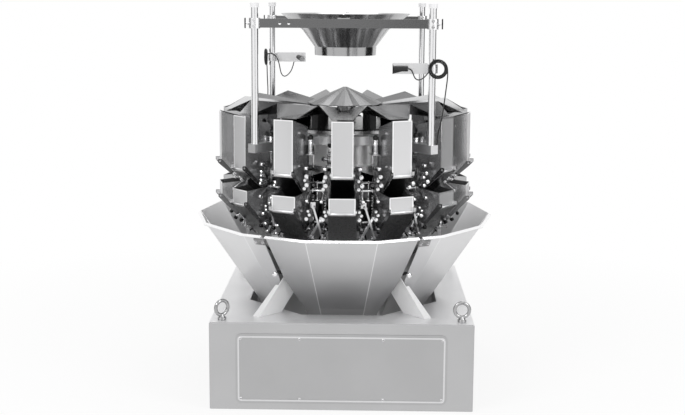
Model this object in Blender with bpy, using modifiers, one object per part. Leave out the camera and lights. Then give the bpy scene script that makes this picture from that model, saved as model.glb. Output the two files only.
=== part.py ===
# Multihead weigher, fourteen heads on one base.
# Metres, +Z up, front towards -Y, origin at the middle of the base's underside.

import math

import bmesh
import bpy
from mathutils import Matrix, Vector

# Gaps between pieces that touch, and the overrun of cuts and welds
SEAT_GAP = 0.0003
OVERRUN = 0.001

# Base housing
BASE_WIDTH = 1.100
BASE_HEIGHT = 0.370
BASE_EDGE_ROUND = 0.004
WELL_CLEARANCE = 0.0086
COVER_WIDTH = 0.872
COVER_HEIGHT = 0.296
COVER_BOTTOM = 0.028
COVER_CORNER = 0.022
COVER_THICK = 0.0025
COVER_BEAD_INSET = 0.009
COVER_BEAD_WIDTH = 0.007
COVER_BEAD_RISE = 0.0025

# Lifting eyes
EYE_SIDE_INSET = 0.054
EYE_FRONT_INSET = 0.050
EYE_RING_RADIUS = 0.0300
EYE_BAR_RADIUS = 0.0075
EYE_COLLAR_RADIUS = 0.018
EYE_COLLAR_HEIGHT = 0.012
EYE_TOTAL_HEIGHT = 0.088
EYE_TURN = math.radians(42)
EYE_RING_STEPS = 16
EYE_BAR_STEPS = 6

# Discharge chutes, cut from one fourteen-sided funnel by six gaps
CHUTE_COUNT = 6
CHUTE_RIM_GAP = math.radians(0.7)
CHUTE_KNEE_GAP = math.radians(1.4)
CHUTE_DECK_GAP = math.radians(7.8)
CHUTE_RIM_RADIUS = 0.650
CHUTE_RIM_Z = 0.735
CHUTE_KNEE_Z = 0.530
CHUTE_FOOT_Z = 0.060
CHUTE_SLOPE = 0.681
CHUTE_SHEET = 0.003
CHUTE_LIP_OUT = 0.012
CHUTE_LIP_DROP = 0.008
WELL_APOTHEM = CHUTE_RIM_RADIUS - (CHUTE_RIM_Z - BASE_HEIGHT) * CHUTE_SLOPE + WELL_CLEARANCE

# Legs and the ring plate that they carry
LEG_FOOT_ANGLE = math.radians(36.7)
LEG_FOOT_RADIUS = 0.579
LEG_TOP_ANGLE = math.radians(27)
LEG_TOP_RADIUS = 0.461
LEG_TURN = math.radians(42.8)
LEG_WIDTH = 0.128
LEG_SHEET = 0.004
LEG_FLANGE = 0.038
LEG_FLANGE_TOP = 0.020
LEG_FLANGE_TOP_Z = 0.500
RING_RADIUS = 0.355
RING_HOLE_RADIUS = 0.110
RING_BOTTOM_Z = 0.585
RING_THICK = 0.012
CHUTE_BAR_HALF = 0.006
CHUTE_BAR_Z = 0.560

# Central body
CORE_RADIUS = 0.210
CORE_TOP_Z = 0.970
DRUM_RADIUS = 0.172
DRUM_TOP_Z = 1.120
BODY_FLANGE_RADIUS = 0.330
BODY_FLANGE_THICK = 0.012
TOP_PLATE_RADIUS = 0.300
TOP_PLATE_THICK = 0.014
ROUND_STEPS = 40

# Heads
HEAD_COUNT = 14
HEAD_PITCH = 2 * math.pi / HEAD_COUNT
HOPPER_SHEET = 0.002
PLATE_RADIUS = 0.555
FEED_DEPTH = 0.125
WEIGH_DEPTH = 0.149
HANGER_STAND_OFF = 0.010
DRIVE_WIDTH = 0.076
DRIVE_BOTTOM_Z = 0.720
DRIVE_TOP_Z = 0.955
HANGER_WIDTH = 0.060
HANGER_THICK = 0.006
HANGER_BOTTOM_Z = 0.740
HANGER_TOP_Z = 1.120
LINK_WIDTH = 0.036
LINK_HEIGHT = 0.024
FEED_INNER_RADIUS = PLATE_RADIUS - FEED_DEPTH
WEIGH_INNER_RADIUS = PLATE_RADIUS - WEIGH_DEPTH
DRIVE_OUTER = WEIGH_INNER_RADIUS - HANGER_STAND_OFF - HANGER_THICK - SEAT_GAP
HINGE_STAND_OUT = 0.008
HINGE_RADIUS = PLATE_RADIUS + HINGE_STAND_OUT
LUG_HALF = 0.0075
PIN_RADIUS = 0.004
PIN_CLEARANCE = 0.0009
PIN_SIDES = 6
PIN_REACH = 0.0055

# Feed hopper, upper row
FEED_WIDTH = 0.089
FEED_TOP_Z = 1.201
FEED_INNER_TOP_Z = 1.165
FEED_BOTTOM_Z = 0.970
FEED_SLOPE = math.radians(41)
FEED_HINGE_RISE = 0.016
FEED_LEAF_LENGTH = 0.168

# Weigh hopper, lower row
WEIGH_WIDTH = 0.109
WEIGH_TOP_Z = 0.890
WEIGH_INNER_TOP_Z = 0.905
WEIGH_BOTTOM_Z = 0.820
WEIGH_SLOPE = math.radians(46)
WEIGH_HINGE_RISE = 0.016
WEIGH_LEAF_LENGTH = 0.217

# Gates
GATE_SHEET = 0.0025
GATE_GAP = 0.0018
LEAF_STAND_OUT = 0.003
LEAF_TOP_RADIUS = PLATE_RADIUS + LEAF_STAND_OUT
EAR_SHEET = 0.0025
EAR_GAP = 0.001
EAR_EDGE = 0.009
EAR_DEPTH = 0.022
EAR_LENGTH_SHARE = 0.55

# Linear feeder pans
PAN_SHEET = 0.002
PAN_FLOOR_Z = 1.206
PAN_INNER_RADIUS = 0.130
PAN_OUTER_RADIUS = 0.530
PAN_INNER_HALF_WIDTH = 0.016
PAN_OUTER_HALF_WIDTH = 0.042
PAN_RIDGE_OUTER_RADIUS = 0.445
PAN_RIDGE_INNER_Z = 1.220
PAN_RIDGE_OUTER_Z = 1.255
PAN_RIDGE_GAP = 0.0025
FEEDER_WIDTH = 0.030
FEEDER_INNER = 0.215
FEEDER_OUTER = 0.285
HUB_RADIUS = 0.290
HUB_HOLE_RADIUS = 0.050
HUB_THICK = 0.006

# Dispersion cone
CONE_RADIUS = 0.167
CONE_EDGE_Z = 1.228
CONE_TOP_Z = 1.300
CONE_EDGE_THICK = 0.003
CONE_TIP_RADIUS = 0.008
CONE_FLUTE_DROP = 0.012
CONE_STEM_RADIUS = 0.035

# Posts and bars over the machine
POST_ANGLE = 1.5 * HEAD_PITCH
POST_CIRCLE = 0.575
POST_RADIUS = 0.015
POST_TOP_Z = 1.658
CAP_RADIUS = 0.018
CAP_HEIGHT = 0.018
ARM_SIZE = 0.038
ARM_BOTTOM_Z = 1.061
ARM_OVERHANG = 0.022
ARM_STEP = 0.001
BAND_RADIUS = 0.200
BAR_HEIGHT = 0.036
BAR_THICK = 0.020
BAR_MIDDLE_Z = 1.5865
BAR_HOLE_RADIUS = 0.0065
BAR_HOLE_PLACES = (-0.257, -0.221)
CLAMP_RADIUS = 0.023
CLAMP_HEIGHT = 0.042
POST_SIDES = 16

# Infeed funnel
FUNNEL_RIM_RADIUS = 0.285
FUNNEL_RIM_Z = 1.622
FUNNEL_WAIST_RADIUS = 0.190
FUNNEL_WAIST_Z = 1.550
FUNNEL_NECK_RADIUS = 0.137
FUNNEL_NECK_Z = 1.478
FUNNEL_MOUTH_RADIUS = 0.135
FUNNEL_MOUTH_Z = 1.441
FUNNEL_SHEET = 0.003
TAB_WIDTH = 0.050
TAB_INNER = 0.262
TAB_THICK = 0.004

# Level sensors on two of the posts
SENSOR_Z = 1.408
SENSOR_ARM_LENGTH = 0.160
SENSOR_ARM_HEIGHT = 0.044
SENSOR_ARM_THICK = 0.003
SENSOR_CLAMP_RADIUS = 0.023
SENSOR_CLAMP_HEIGHT = 0.036
SENSOR_RADIUS = 0.011
SENSOR_LENGTH = 0.056
SENSOR_REAR = 0.018
SENSOR_FRONT = 0.038
SENSOR_INSET = 0.034
SENSOR_SIDES = 12

# Sensor leads, each with the coil of its spare length
LEAD_RADIUS = 0.0024
LEAD_STEP = 0.0144
LEAD_ENTRY = 0.014
LEAD_GAP = 0.0006
COIL_RADIUS = 0.034
COIL_BAR_RADIUS = 0.007
COIL_LOW_SHARE = 0.1
COIL_STEPS = 20
COIL_PROFILE_STEPS = 8

STEEL = (0.62, 0.62, 0.63, 1.0)
BRIGHT = (0.72, 0.72, 0.73, 1.0)
DARK = (0.20, 0.20, 0.21, 1.0)
BLACK = (0.02, 0.02, 0.02, 1.0)


def clear_scene():
    for item in list(bpy.data.objects):
        bpy.data.objects.remove(item, do_unlink=True)


def new_collection(name):
    group = bpy.data.collections.new(name)
    bpy.context.scene.collection.children.link(group)
    return group


def new_material(name, colour, metallic, roughness):
    material = bpy.data.materials.new(name)
    material.use_nodes = True
    shader = material.node_tree.nodes["Principled BSDF"]
    shader.inputs["Base Color"].default_value = colour
    shader.inputs["Metallic"].default_value = metallic
    shader.inputs["Roughness"].default_value = roughness
    return material


def mesh_from(bm, name):
    bmesh.ops.recalc_face_normals(bm, faces=bm.faces)
    mesh = bpy.data.meshes.new(name)
    bm.to_mesh(mesh)
    bm.free()
    return mesh


def place(name, mesh, group, material=None):
    item = bpy.data.objects.new(name, mesh)
    group.objects.link(item)
    if material is not None and not mesh.materials:
        mesh.materials.append(material)
    return item


def add_box(bm, low, high):
    low = Vector(low)
    high = Vector(high)
    middle = (low + high) / 2
    size = high - low
    matrix = Matrix.Translation(middle) @ Matrix.Diagonal((size.x, size.y, size.z, 1))
    bmesh.ops.create_cube(bm, size=1, matrix=matrix)


def add_cylinder(bm, start, end, radius, sides, end_radius=None):
    start = Vector(start)
    end = Vector(end)
    axis = end - start
    turn = axis.to_track_quat("Z", "Y").to_matrix().to_4x4()
    matrix = Matrix.Translation((start + end) / 2) @ turn
    top = radius if end_radius is None else end_radius
    bmesh.ops.create_cone(bm, cap_ends=True, segments=sides, radius1=radius, radius2=top,
                          depth=axis.length, matrix=matrix)


def add_prism(bm, outline, thickness):
    # A flat outline of 3D points, pushed along the thickness vector
    corners = [bm.verts.new(point) for point in outline]
    face = bm.faces.new(corners)
    pushed = bmesh.ops.extrude_face_region(bm, geom=[face])
    moved = [part for part in pushed["geom"] if isinstance(part, bmesh.types.BMVert)]
    bmesh.ops.translate(bm, verts=moved, vec=thickness)


def add_loft(bm, lower, upper):
    # A closed block between two outlines with as many corners
    low = [bm.verts.new(point) for point in lower]
    high = [bm.verts.new(point) for point in upper]
    count = len(low)
    bm.faces.new(low)
    bm.faces.new(list(reversed(high)))
    for index in range(count):
        following = (index + 1) % count
        bm.faces.new((low[index], low[following], high[following], high[index]))


def add_sheet(bm, rows, closed):
    # An open surface: the first row of points is a chain of edges, extruded to each next row
    chain = [bm.verts.new(point) for point in rows[0]]
    count = len(chain)
    spans = count if closed else count - 1
    edges = [bm.edges.new((chain[i], chain[(i + 1) % count])) for i in range(spans)]
    for row in rows[1:]:
        pushed = bmesh.ops.extrude_edge_only(bm, edges=edges)
        edges = [part for part in pushed["geom"] if isinstance(part, bmesh.types.BMEdge)]
        fresh = [part for part in pushed["geom"] if isinstance(part, bmesh.types.BMVert)]
        for old, point in zip(chain, row):
            for vert in fresh:
                if (vert.co - old.co).length < SEAT_GAP * SEAT_GAP:
                    vert.co = point
                    fresh.remove(vert)
                    break
        bm.verts.ensure_lookup_table()
        chain = [next(vert for vert in bm.verts if vert.co == Vector(point)) for point in row]
    bmesh.ops.recalc_face_normals(bm, faces=bm.faces)


def solidify(item, thickness, offset):
    wall = item.modifiers.new("wall", "SOLIDIFY")
    wall.thickness = thickness
    wall.offset = offset
    wall.use_even_offset = True
    wall.use_quality_normals = True
    return wall


def weld(item, pieces, tools, operation="UNION"):
    # One Boolean with all the helper objects, which stay out of the render
    group = bpy.data.collections.new(item.name + "_" + operation.lower())
    tools.children.link(group)
    for piece in pieces:
        piece.hide_render = True
        piece.display_type = "WIRE"
        group.objects.link(piece)
        tools.objects.unlink(piece)
    join = item.modifiers.new(group.name, "BOOLEAN")
    join.operation = operation
    join.operand_type = "COLLECTION"
    join.collection = group
    join.solver = "EXACT"


def bake(item, name):
    # The evaluated mesh of an object, kept as plain geometry
    depsgraph = bpy.context.evaluated_depsgraph_get()
    mesh = bpy.data.meshes.new_from_object(item.evaluated_get(depsgraph))
    mesh.name = name
    return mesh


def round_smooth(item):
    item.data.shade_smooth()
    item.data.set_sharp_from_angle(angle=math.radians(35))


def outward(angle, radius, z):
    return Vector((radius * math.sin(angle), -radius * math.cos(angle), z))


def sideways(angle):
    return Vector((math.cos(angle), math.sin(angle), 0))


def helper(name, build, tools):
    bm = bmesh.new()
    build(bm)
    return place(name, mesh_from(bm, name), tools)


def turned(name, profile, steps, group, material=None):
    # A closed profile of (radius, z) points turned about +Z
    bm = bmesh.new()
    verts = [bm.verts.new((radius, 0, z)) for radius, z in profile]
    for index, vert in enumerate(verts[:-1]):
        bm.edges.new((vert, verts[index + 1]))
    if profile[0][0] > 0:
        bm.edges.new((verts[-1], verts[0]))
    mesh = bpy.data.meshes.new(name)
    bm.to_mesh(mesh)
    bm.free()
    item = place(name, mesh, group, material)
    screw = item.modifiers.new("turn", "SCREW")
    screw.angle = 2 * math.pi
    screw.steps = steps
    screw.render_steps = steps
    screw.use_merge_vertices = True
    screw.merge_threshold = 0.00005
    return item


def rounded_outline(width, height, corner, steps=3):
    points = []
    for quarter, (sx, sz) in enumerate(((1, -1), (1, 1), (-1, 1), (-1, -1))):
        centre_x = sx * (width / 2 - corner)
        centre_z = sz * (height / 2 - corner)
        for step in range(steps + 1):
            angle = math.radians(90) * (quarter - 1 + step / steps)
            points.append((centre_x + corner * math.cos(angle), centre_z + corner * math.sin(angle)))
    return points


# Base housing with its lifting eyes and its side and back covers

def cover_solid(bm):
    # Lies in the XZ plane, its face towards -Y, its back at Y = 0
    outline = rounded_outline(COVER_WIDTH, COVER_HEIGHT, COVER_CORNER)
    middle_z = COVER_BOTTOM + COVER_HEIGHT / 2
    face = bm.faces.new([bm.verts.new((x, 0, z + middle_z)) for x, z in outline])
    pushed = bmesh.ops.extrude_face_region(bm, geom=[face])
    moved = [part for part in pushed["geom"] if isinstance(part, bmesh.types.BMVert)]
    bmesh.ops.translate(bm, verts=moved, vec=(0, -COVER_THICK, 0))
    bmesh.ops.recalc_face_normals(bm, faces=bm.faces)
    front = max(bm.faces, key=lambda part: -part.calc_center_median().y)
    bmesh.ops.inset_region(bm, faces=[front], thickness=COVER_BEAD_INSET, use_even_offset=True)
    ring = bmesh.ops.inset_region(bm, faces=[front], thickness=COVER_BEAD_WIDTH, use_even_offset=True)
    raised = bmesh.ops.extrude_face_region(bm, geom=ring["faces"])
    lifted = [part for part in raised["geom"] if isinstance(part, bmesh.types.BMVert)]
    bmesh.ops.translate(bm, verts=lifted, vec=(0, -COVER_BEAD_RISE, 0))
    bmesh.ops.delete(bm, geom=ring["faces"], context="FACES")


def cover_mesh(name):
    bm = bmesh.new()
    cover_solid(bm)
    return mesh_from(bm, name)


def eye_bolt(name, x, y, turn, tools):
    ring_z = BASE_HEIGHT + EYE_TOTAL_HEIGHT - EYE_RING_RADIUS - EYE_BAR_RADIUS
    bpy.ops.mesh.primitive_torus_add(major_radius=EYE_RING_RADIUS, minor_radius=EYE_BAR_RADIUS,
                                     major_segments=EYE_RING_STEPS, minor_segments=EYE_BAR_STEPS,
                                     location=(x, y, ring_z), rotation=(math.radians(90), 0, turn))
    ring = bpy.context.object
    ring.name = name + "_ring"
    for group in list(ring.users_collection):
        group.objects.unlink(ring)
    tools.objects.link(ring)

    def collar(bm):
        add_cylinder(bm, (x, y, BASE_HEIGHT - OVERRUN),
                     (x, y, BASE_HEIGHT + EYE_COLLAR_HEIGHT + EYE_BAR_RADIUS / 2), EYE_COLLAR_RADIUS, 16,
                     EYE_COLLAR_RADIUS - EYE_BAR_RADIUS / 2)

    return [helper(name + "_collar", collar, tools), ring]


def build_base(parts, tools, steel):
    half = BASE_WIDTH / 2 - COVER_THICK - COVER_BEAD_RISE
    bm = bmesh.new()
    add_box(bm, (-half, -half, 0), (half, half, BASE_HEIGHT))
    upright = [edge for edge in bm.edges
               if max(abs(edge.verts[0].co.z), abs(edge.verts[1].co.z)) > 0
               and not (edge.verts[0].co.z == 0 and edge.verts[1].co.z == 0)]
    bmesh.ops.bevel(bm, geom=upright, offset=BASE_EDGE_ROUND, segments=2, affect="EDGES")
    item = place("base_housing", mesh_from(bm, "base_housing"), parts, steel)
    corner = WELL_APOTHEM / math.cos(math.pi / 8)

    def well(bm):
        add_cylinder(bm, (0, 0, -OVERRUN), (0, 0, BASE_HEIGHT + OVERRUN), corner, 8)
        bmesh.ops.rotate(bm, verts=bm.verts, cent=(0, 0, 0), matrix=Matrix.Rotation(math.pi / 8, 3, "Z"))

    def at_side(turn):
        def side(bm):
            cover_solid(bm)
            bmesh.ops.translate(bm, verts=bm.verts, vec=(0, -half + OVERRUN, 0))
            bmesh.ops.rotate(bm, verts=bm.verts, cent=(0, 0, 0), matrix=Matrix.Rotation(turn, 3, "Z"))
        return side

    weld(item, [helper("well", well, tools)], tools, "DIFFERENCE")
    sides = (("back", math.pi), ("right", math.pi / 2), ("left", -math.pi / 2))
    weld(item, [helper(label + "_cover", at_side(turn), tools) for label, turn in sides], tools)
    for label, side_x, side_y in (("front_left", -1, -1), ("front_right", 1, -1),
                                  ("back_left", -1, 1), ("back_right", 1, 1)):
        x = side_x * (BASE_WIDTH / 2 - EYE_SIDE_INSET)
        y = side_y * (BASE_WIDTH / 2 - EYE_FRONT_INSET)
        turn = EYE_TURN if side_x < 0 else 0
        weld(item, eye_bolt("eye_bolt_" + label, x, y, turn, tools), tools)
    cover = place("front_cover", cover_mesh("front_cover"), parts, steel)
    cover.location = (0, -half - SEAT_GAP, 0)


# Discharge chutes

def chute_radius(z):
    return CHUTE_RIM_RADIUS - (CHUTE_RIM_Z - z) * CHUTE_SLOPE


def chute_point(angle, radius, z):
    # The funnel has one flat side for each head, and its corners lie between two heads
    facet = HEAD_PITCH * round(angle / HEAD_PITCH)
    return outward(angle, radius * math.cos(HEAD_PITCH / 2) / math.cos(angle - facet), z)


def chute_rows(centre):
    half = math.pi / CHUTE_COUNT
    corners = [HEAD_PITCH * (index + 1 / 2) for index in range(-1, HEAD_COUNT)]
    creases = [angle for angle in corners if abs(angle - centre) < half - CHUTE_DECK_GAP]
    rows = []
    for radius, gap, z in ((CHUTE_RIM_RADIUS + CHUTE_LIP_OUT, CHUTE_RIM_GAP, CHUTE_RIM_Z - CHUTE_LIP_DROP),
                           (CHUTE_RIM_RADIUS, CHUTE_RIM_GAP, CHUTE_RIM_Z),
                           (chute_radius(CHUTE_KNEE_Z), CHUTE_KNEE_GAP, CHUTE_KNEE_Z),
                           (chute_radius(BASE_HEIGHT), CHUTE_DECK_GAP, BASE_HEIGHT),
                           (chute_radius(CHUTE_FOOT_Z), CHUTE_DECK_GAP, CHUTE_FOOT_Z)):
        angles = [centre - half + gap] + creases + [centre + half - gap]
        rows.append([chute_point(angle, radius, z) for angle in angles])
    return rows


def build_chutes(parts, steel):
    names = ("front", "front_right", "back_right", "back", "back_left", "front_left")
    for index, label in enumerate(names):
        bm = bmesh.new()
        add_sheet(bm, chute_rows(index * 2 * math.pi / CHUTE_COUNT), False)
        item = place("chute_" + label, mesh_from(bm, "chute_" + label), parts, steel)
        solidify(item, CHUTE_SHEET, -1)


# Legs and ring plate

def leg_edge(mirror, share):
    # The leg's outer edge, from the foot (share 0) to the ring plate (share 1)
    foot_z = BASE_HEIGHT + SEAT_GAP
    top_z = RING_BOTTOM_Z + RING_THICK / 2
    foot = outward(mirror * LEG_FOOT_ANGLE, LEG_FOOT_RADIUS, foot_z)
    top = outward(mirror * LEG_TOP_ANGLE, LEG_TOP_RADIUS, top_z)
    return foot.lerp(top, share)


def leg_share(z):
    foot_z = BASE_HEIGHT + SEAT_GAP
    return (z - foot_z) / (RING_BOTTOM_Z + RING_THICK / 2 - foot_z)


def leg_section(mirror, share):
    side = sideways(mirror * LEG_TURN) * LEG_SHEET / 2
    outer = leg_edge(mirror, share)
    inner = outer + outward(mirror * LEG_TURN, -LEG_WIDTH, 0)
    return [outer - side, outer + side, inner + side, inner - side]


def leg_solid(bm, mirror):
    add_loft(bm, leg_section(mirror, 0), leg_section(mirror, 1))


def flange_solid(bm, mirror):
    inward = outward(mirror * LEG_TURN, -LEG_SHEET, 0)
    side = sideways(mirror * LEG_TURN) * mirror
    rows = []
    for share, width in ((0, LEG_FLANGE), (leg_share(LEG_FLANGE_TOP_Z), LEG_FLANGE_TOP)):
        start = leg_edge(mirror, share) - side * LEG_SHEET / 2
        end = start + side * width
        rows.append([start, end, end + inward, start + inward])
    add_loft(bm, rows[0], rows[1])


def gap_half(z):
    # Reach of a gap's middle and half its width, at a height between the knee and the rim
    share = (CHUTE_RIM_Z - z) / (CHUTE_RIM_Z - CHUTE_KNEE_Z)
    half = math.pi / CHUTE_COUNT
    rim = chute_point(half - CHUTE_RIM_GAP, CHUTE_RIM_RADIUS, CHUTE_RIM_Z)
    knee = chute_point(half - CHUTE_KNEE_GAP, chute_radius(CHUTE_KNEE_Z), CHUTE_KNEE_Z)
    point = rim.lerp(knee, share)
    return point.dot(outward(half, 1, 0)), -point.dot(sideways(half))


def chute_bar(bm, mirror):
    # A bar across the gap between two chutes, whose ends carry their edges
    angle = mirror * math.pi / CHUTE_COUNT
    middle = gap_half(CHUTE_BAR_Z)[0] - CHUTE_SHEET / 2
    half = gap_half(CHUTE_BAR_Z + CHUTE_BAR_HALF)[1] - SEAT_GAP
    side = sideways(angle) * half
    neck = sideways(angle) * LEG_SHEET / 2
    root = leg_edge(mirror, leg_share(CHUTE_BAR_Z)) + outward(mirror * LEG_TURN, -LEG_SHEET, 0)
    shoulder = outward(angle, middle - CHUTE_BAR_HALF, CHUTE_BAR_Z)
    end = outward(angle, middle + CHUTE_BAR_HALF, CHUTE_BAR_Z)
    drop = Vector((0, 0, CHUTE_BAR_HALF))
    outline = [root - neck, root + neck, shoulder + neck, shoulder + side,
               end + side, end - side, shoulder - side, shoulder - neck]
    add_prism(bm, [point - drop for point in outline], drop * 2)


def build_support(parts, tools, steel):
    profile = ((RING_RADIUS, RING_BOTTOM_Z + RING_THICK), (RING_RADIUS, RING_BOTTOM_Z),
               (RING_HOLE_RADIUS, RING_BOTTOM_Z), (RING_HOLE_RADIUS, RING_BOTTOM_Z + RING_THICK))
    item = turned("support_frame", profile, ROUND_STEPS, parts, steel)
    pieces = []
    for label, back, mirror in (("front_left", 0, -1), ("front_right", 0, 1),
                                ("back_left", 1, 1), ("back_right", 1, -1)):
        for kind, build in (("leg", leg_solid), ("flange", flange_solid), ("chute_bar", chute_bar)):
            piece = helper(kind + "_" + label, lambda bm, b=build, m=mirror: b(bm, m), tools)
            piece.rotation_euler.z = back * math.pi
            pieces.append(piece)
    weld(item, pieces, tools)


# Central body with its fourteen drive housings

def build_body(parts, tools, bright):
    bottom = RING_BOTTOM_Z + RING_THICK + SEAT_GAP
    profile = ((0, DRUM_TOP_Z + TOP_PLATE_THICK), (TOP_PLATE_RADIUS, DRUM_TOP_Z + TOP_PLATE_THICK),
               (TOP_PLATE_RADIUS, DRUM_TOP_Z), (DRUM_RADIUS, DRUM_TOP_Z), (DRUM_RADIUS, CORE_TOP_Z),
               (CORE_RADIUS, CORE_TOP_Z), (CORE_RADIUS, bottom + BODY_FLANGE_THICK),
               (BODY_FLANGE_RADIUS, bottom + BODY_FLANGE_THICK), (BODY_FLANGE_RADIUS, bottom), (0, bottom))
    item = turned("central_body", profile, ROUND_STEPS, parts, bright)
    half = DRIVE_WIDTH / 2

    def drive(bm):
        add_box(bm, (-half, -DRIVE_OUTER, DRIVE_BOTTOM_Z),
                (half, -CORE_RADIUS * math.cos(HEAD_PITCH / 2) + HANGER_THICK, DRIVE_TOP_Z))

    boxes = []
    for head in range(HEAD_COUNT):
        piece = helper("drive_%02d" % (head + 1), drive, tools)
        piece.rotation_euler.z = head * HEAD_PITCH
        boxes.append(piece)
    weld(item, boxes, tools)


# Hoppers of one head, built for the front head and turned to each place

def hopper_rows(width, top_z, inner_top_z, bottom_z, inner_radius, slope):
    half = width / 2
    inner_bottom_z = bottom_z - (PLATE_RADIUS - inner_radius) * math.tan(slope)
    top = [(-half, -PLATE_RADIUS, top_z), (half, -PLATE_RADIUS, top_z),
           (half, -inner_radius, inner_top_z), (-half, -inner_radius, inner_top_z)]
    bottom = [(-half, -PLATE_RADIUS, bottom_z), (half, -PLATE_RADIUS, bottom_z),
              (half, -inner_radius, inner_bottom_z), (-half, -inner_radius, inner_bottom_z)]
    return [top, bottom]


def hopper_shell(name, width, top_z, inner_top_z, bottom_z, inner_radius, slope, group):
    bm = bmesh.new()
    add_sheet(bm, hopper_rows(width, top_z, inner_top_z, bottom_z, inner_radius, slope), True)
    item = place(name, mesh_from(bm, name), group)
    solidify(item, HOPPER_SHEET, -1)
    return item


def hinge_lugs(bm, width, hinge_z):
    half = width / 2
    for side in (-1, 1):
        inner = side * (half - HOPPER_SHEET)
        outer = side * half
        low_x = min(inner, outer)
        high_x = max(inner, outer)
        add_box(bm, (low_x, -HINGE_RADIUS - LUG_HALF, hinge_z - LUG_HALF),
                (high_x, -PLATE_RADIUS + LUG_HALF, hinge_z + LUG_HALF))


def hinge_pins(bm, width, hinge_z):
    half = width / 2
    for side in (-1, 1):
        add_cylinder(bm, (side * (half - HOPPER_SHEET / 2), -HINGE_RADIUS, hinge_z),
                     (side * (half + PIN_REACH), -HINGE_RADIUS, hinge_z), PIN_RADIUS, PIN_SIDES)


def hanger_solid(bm):
    half = HANGER_WIDTH / 2
    inner = DRIVE_OUTER + SEAT_GAP
    add_box(bm, (-half, -inner - HANGER_THICK, HANGER_BOTTOM_Z), (half, -inner, HANGER_TOP_Z))


def link_solid(inner_radius, low_z):
    def build(bm):
        start = DRIVE_OUTER + SEAT_GAP + HANGER_THICK - OVERRUN
        add_box(bm, (-LINK_WIDTH / 2, -inner_radius - OVERRUN, low_z),
                (LINK_WIDTH / 2, -start, low_z + LINK_HEIGHT))
    return build


def head_mesh(scratch, tools):
    feed_hinge_z = FEED_BOTTOM_Z + FEED_HINGE_RISE
    weigh_hinge_z = WEIGH_BOTTOM_Z + WEIGH_HINGE_RISE
    base = helper("head_hanger", hanger_solid, scratch)
    pieces = [
        hopper_shell("feed_shell", FEED_WIDTH, FEED_TOP_Z, FEED_INNER_TOP_Z, FEED_BOTTOM_Z,
                     FEED_INNER_RADIUS, FEED_SLOPE, tools),
        hopper_shell("weigh_shell", WEIGH_WIDTH, WEIGH_TOP_Z, WEIGH_INNER_TOP_Z, WEIGH_BOTTOM_Z,
                     WEIGH_INNER_RADIUS, WEIGH_SLOPE, tools),
        helper("feed_link_low", link_solid(FEED_INNER_RADIUS, FEED_BOTTOM_Z), tools),
        helper("feed_link_high", link_solid(FEED_INNER_RADIUS, HANGER_TOP_Z - LINK_HEIGHT * 2), tools),
        helper("weigh_link_low", link_solid(WEIGH_INNER_RADIUS, HANGER_BOTTOM_Z + LINK_HEIGHT), tools),
        helper("weigh_link_high", link_solid(WEIGH_INNER_RADIUS, WEIGH_TOP_Z - LINK_HEIGHT * 2), tools),
        helper("feed_lugs", lambda bm: hinge_lugs(bm, FEED_WIDTH, feed_hinge_z), tools),
        helper("weigh_lugs", lambda bm: hinge_lugs(bm, WEIGH_WIDTH, weigh_hinge_z), tools),
        helper("feed_pins", lambda bm: hinge_pins(bm, FEED_WIDTH, feed_hinge_z), tools),
        helper("weigh_pins", lambda bm: hinge_pins(bm, WEIGH_WIDTH, weigh_hinge_z), tools)]
    weld(base, pieces, tools)
    mesh = bake(base, "head_hoppers")
    bpy.data.objects.remove(base, do_unlink=True)
    return mesh


# Gates, with their origin on the hinge axis

def gate_leaf(bm, width, bottom_z, slope, length, hinge_z):
    # Lies under the hopper's slanted mouth, a small gap away
    along = Vector((0, math.cos(slope), -math.sin(slope)))
    out = Vector((0, -math.sin(slope), -math.cos(slope)))
    mouth = Vector((0, -PLATE_RADIUS, bottom_z))
    top = mouth - along * ((LEAF_TOP_RADIUS - PLATE_RADIUS) / math.cos(slope)) + out * GATE_GAP
    top -= Vector((0, -HINGE_RADIUS, hinge_z))
    half = Vector((width / 2, 0, 0))
    add_prism(bm, [top - half, top + half, top + half + along * length, top - half + along * length],
              out * GATE_SHEET)
    return top, along, out


def gate_ear(bm, side, width, top, along, out, length):
    start = side * (width / 2 + EAR_GAP)
    reach = length * EAR_LENGTH_SHARE
    up = -out
    base = Vector((start, 0, 0))
    low = top + out * GATE_SHEET
    outline = [Vector((0, -EAR_EDGE, -EAR_EDGE / 2)), low, low + along * reach,
               low + along * reach + up * EAR_DEPTH / 2,
               Vector((0, EAR_EDGE, EAR_EDGE)), Vector((0, -EAR_EDGE, EAR_EDGE))]
    add_prism(bm, [base + Vector((0, point.y, point.z)) for point in outline],
              Vector((side * EAR_SHEET, 0, 0)))


def gate_mesh(name, width, bottom_z, slope, length, rise, scratch, tools):
    hinge_z = bottom_z + rise
    leaf_width = width + 2 * EAR_GAP + 2 * EAR_SHEET
    bm = bmesh.new()
    top, along, out = gate_leaf(bm, leaf_width, bottom_z, slope, length, hinge_z)
    base = place(name + "_leaf", mesh_from(bm, name + "_leaf"), scratch)
    ears = []
    for label, side in (("left", -1), ("right", 1)):
        def ear(bm, s=side):
            gate_ear(bm, s, width, top, along, out, length)
        ears.append(helper(name + "_ear_" + label, ear, tools))
    weld(base, ears, tools)

    def bore(bm):
        reach = leaf_width / 2 + OVERRUN
        add_cylinder(bm, (-reach, 0, 0), (reach, 0, 0), PIN_RADIUS + PIN_CLEARANCE, PIN_SIDES)

    weld(base, [helper(name + "_bore", bore, tools)], tools, "DIFFERENCE")
    mesh = bake(base, name)
    bpy.data.objects.remove(base, do_unlink=True)
    return mesh


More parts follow.
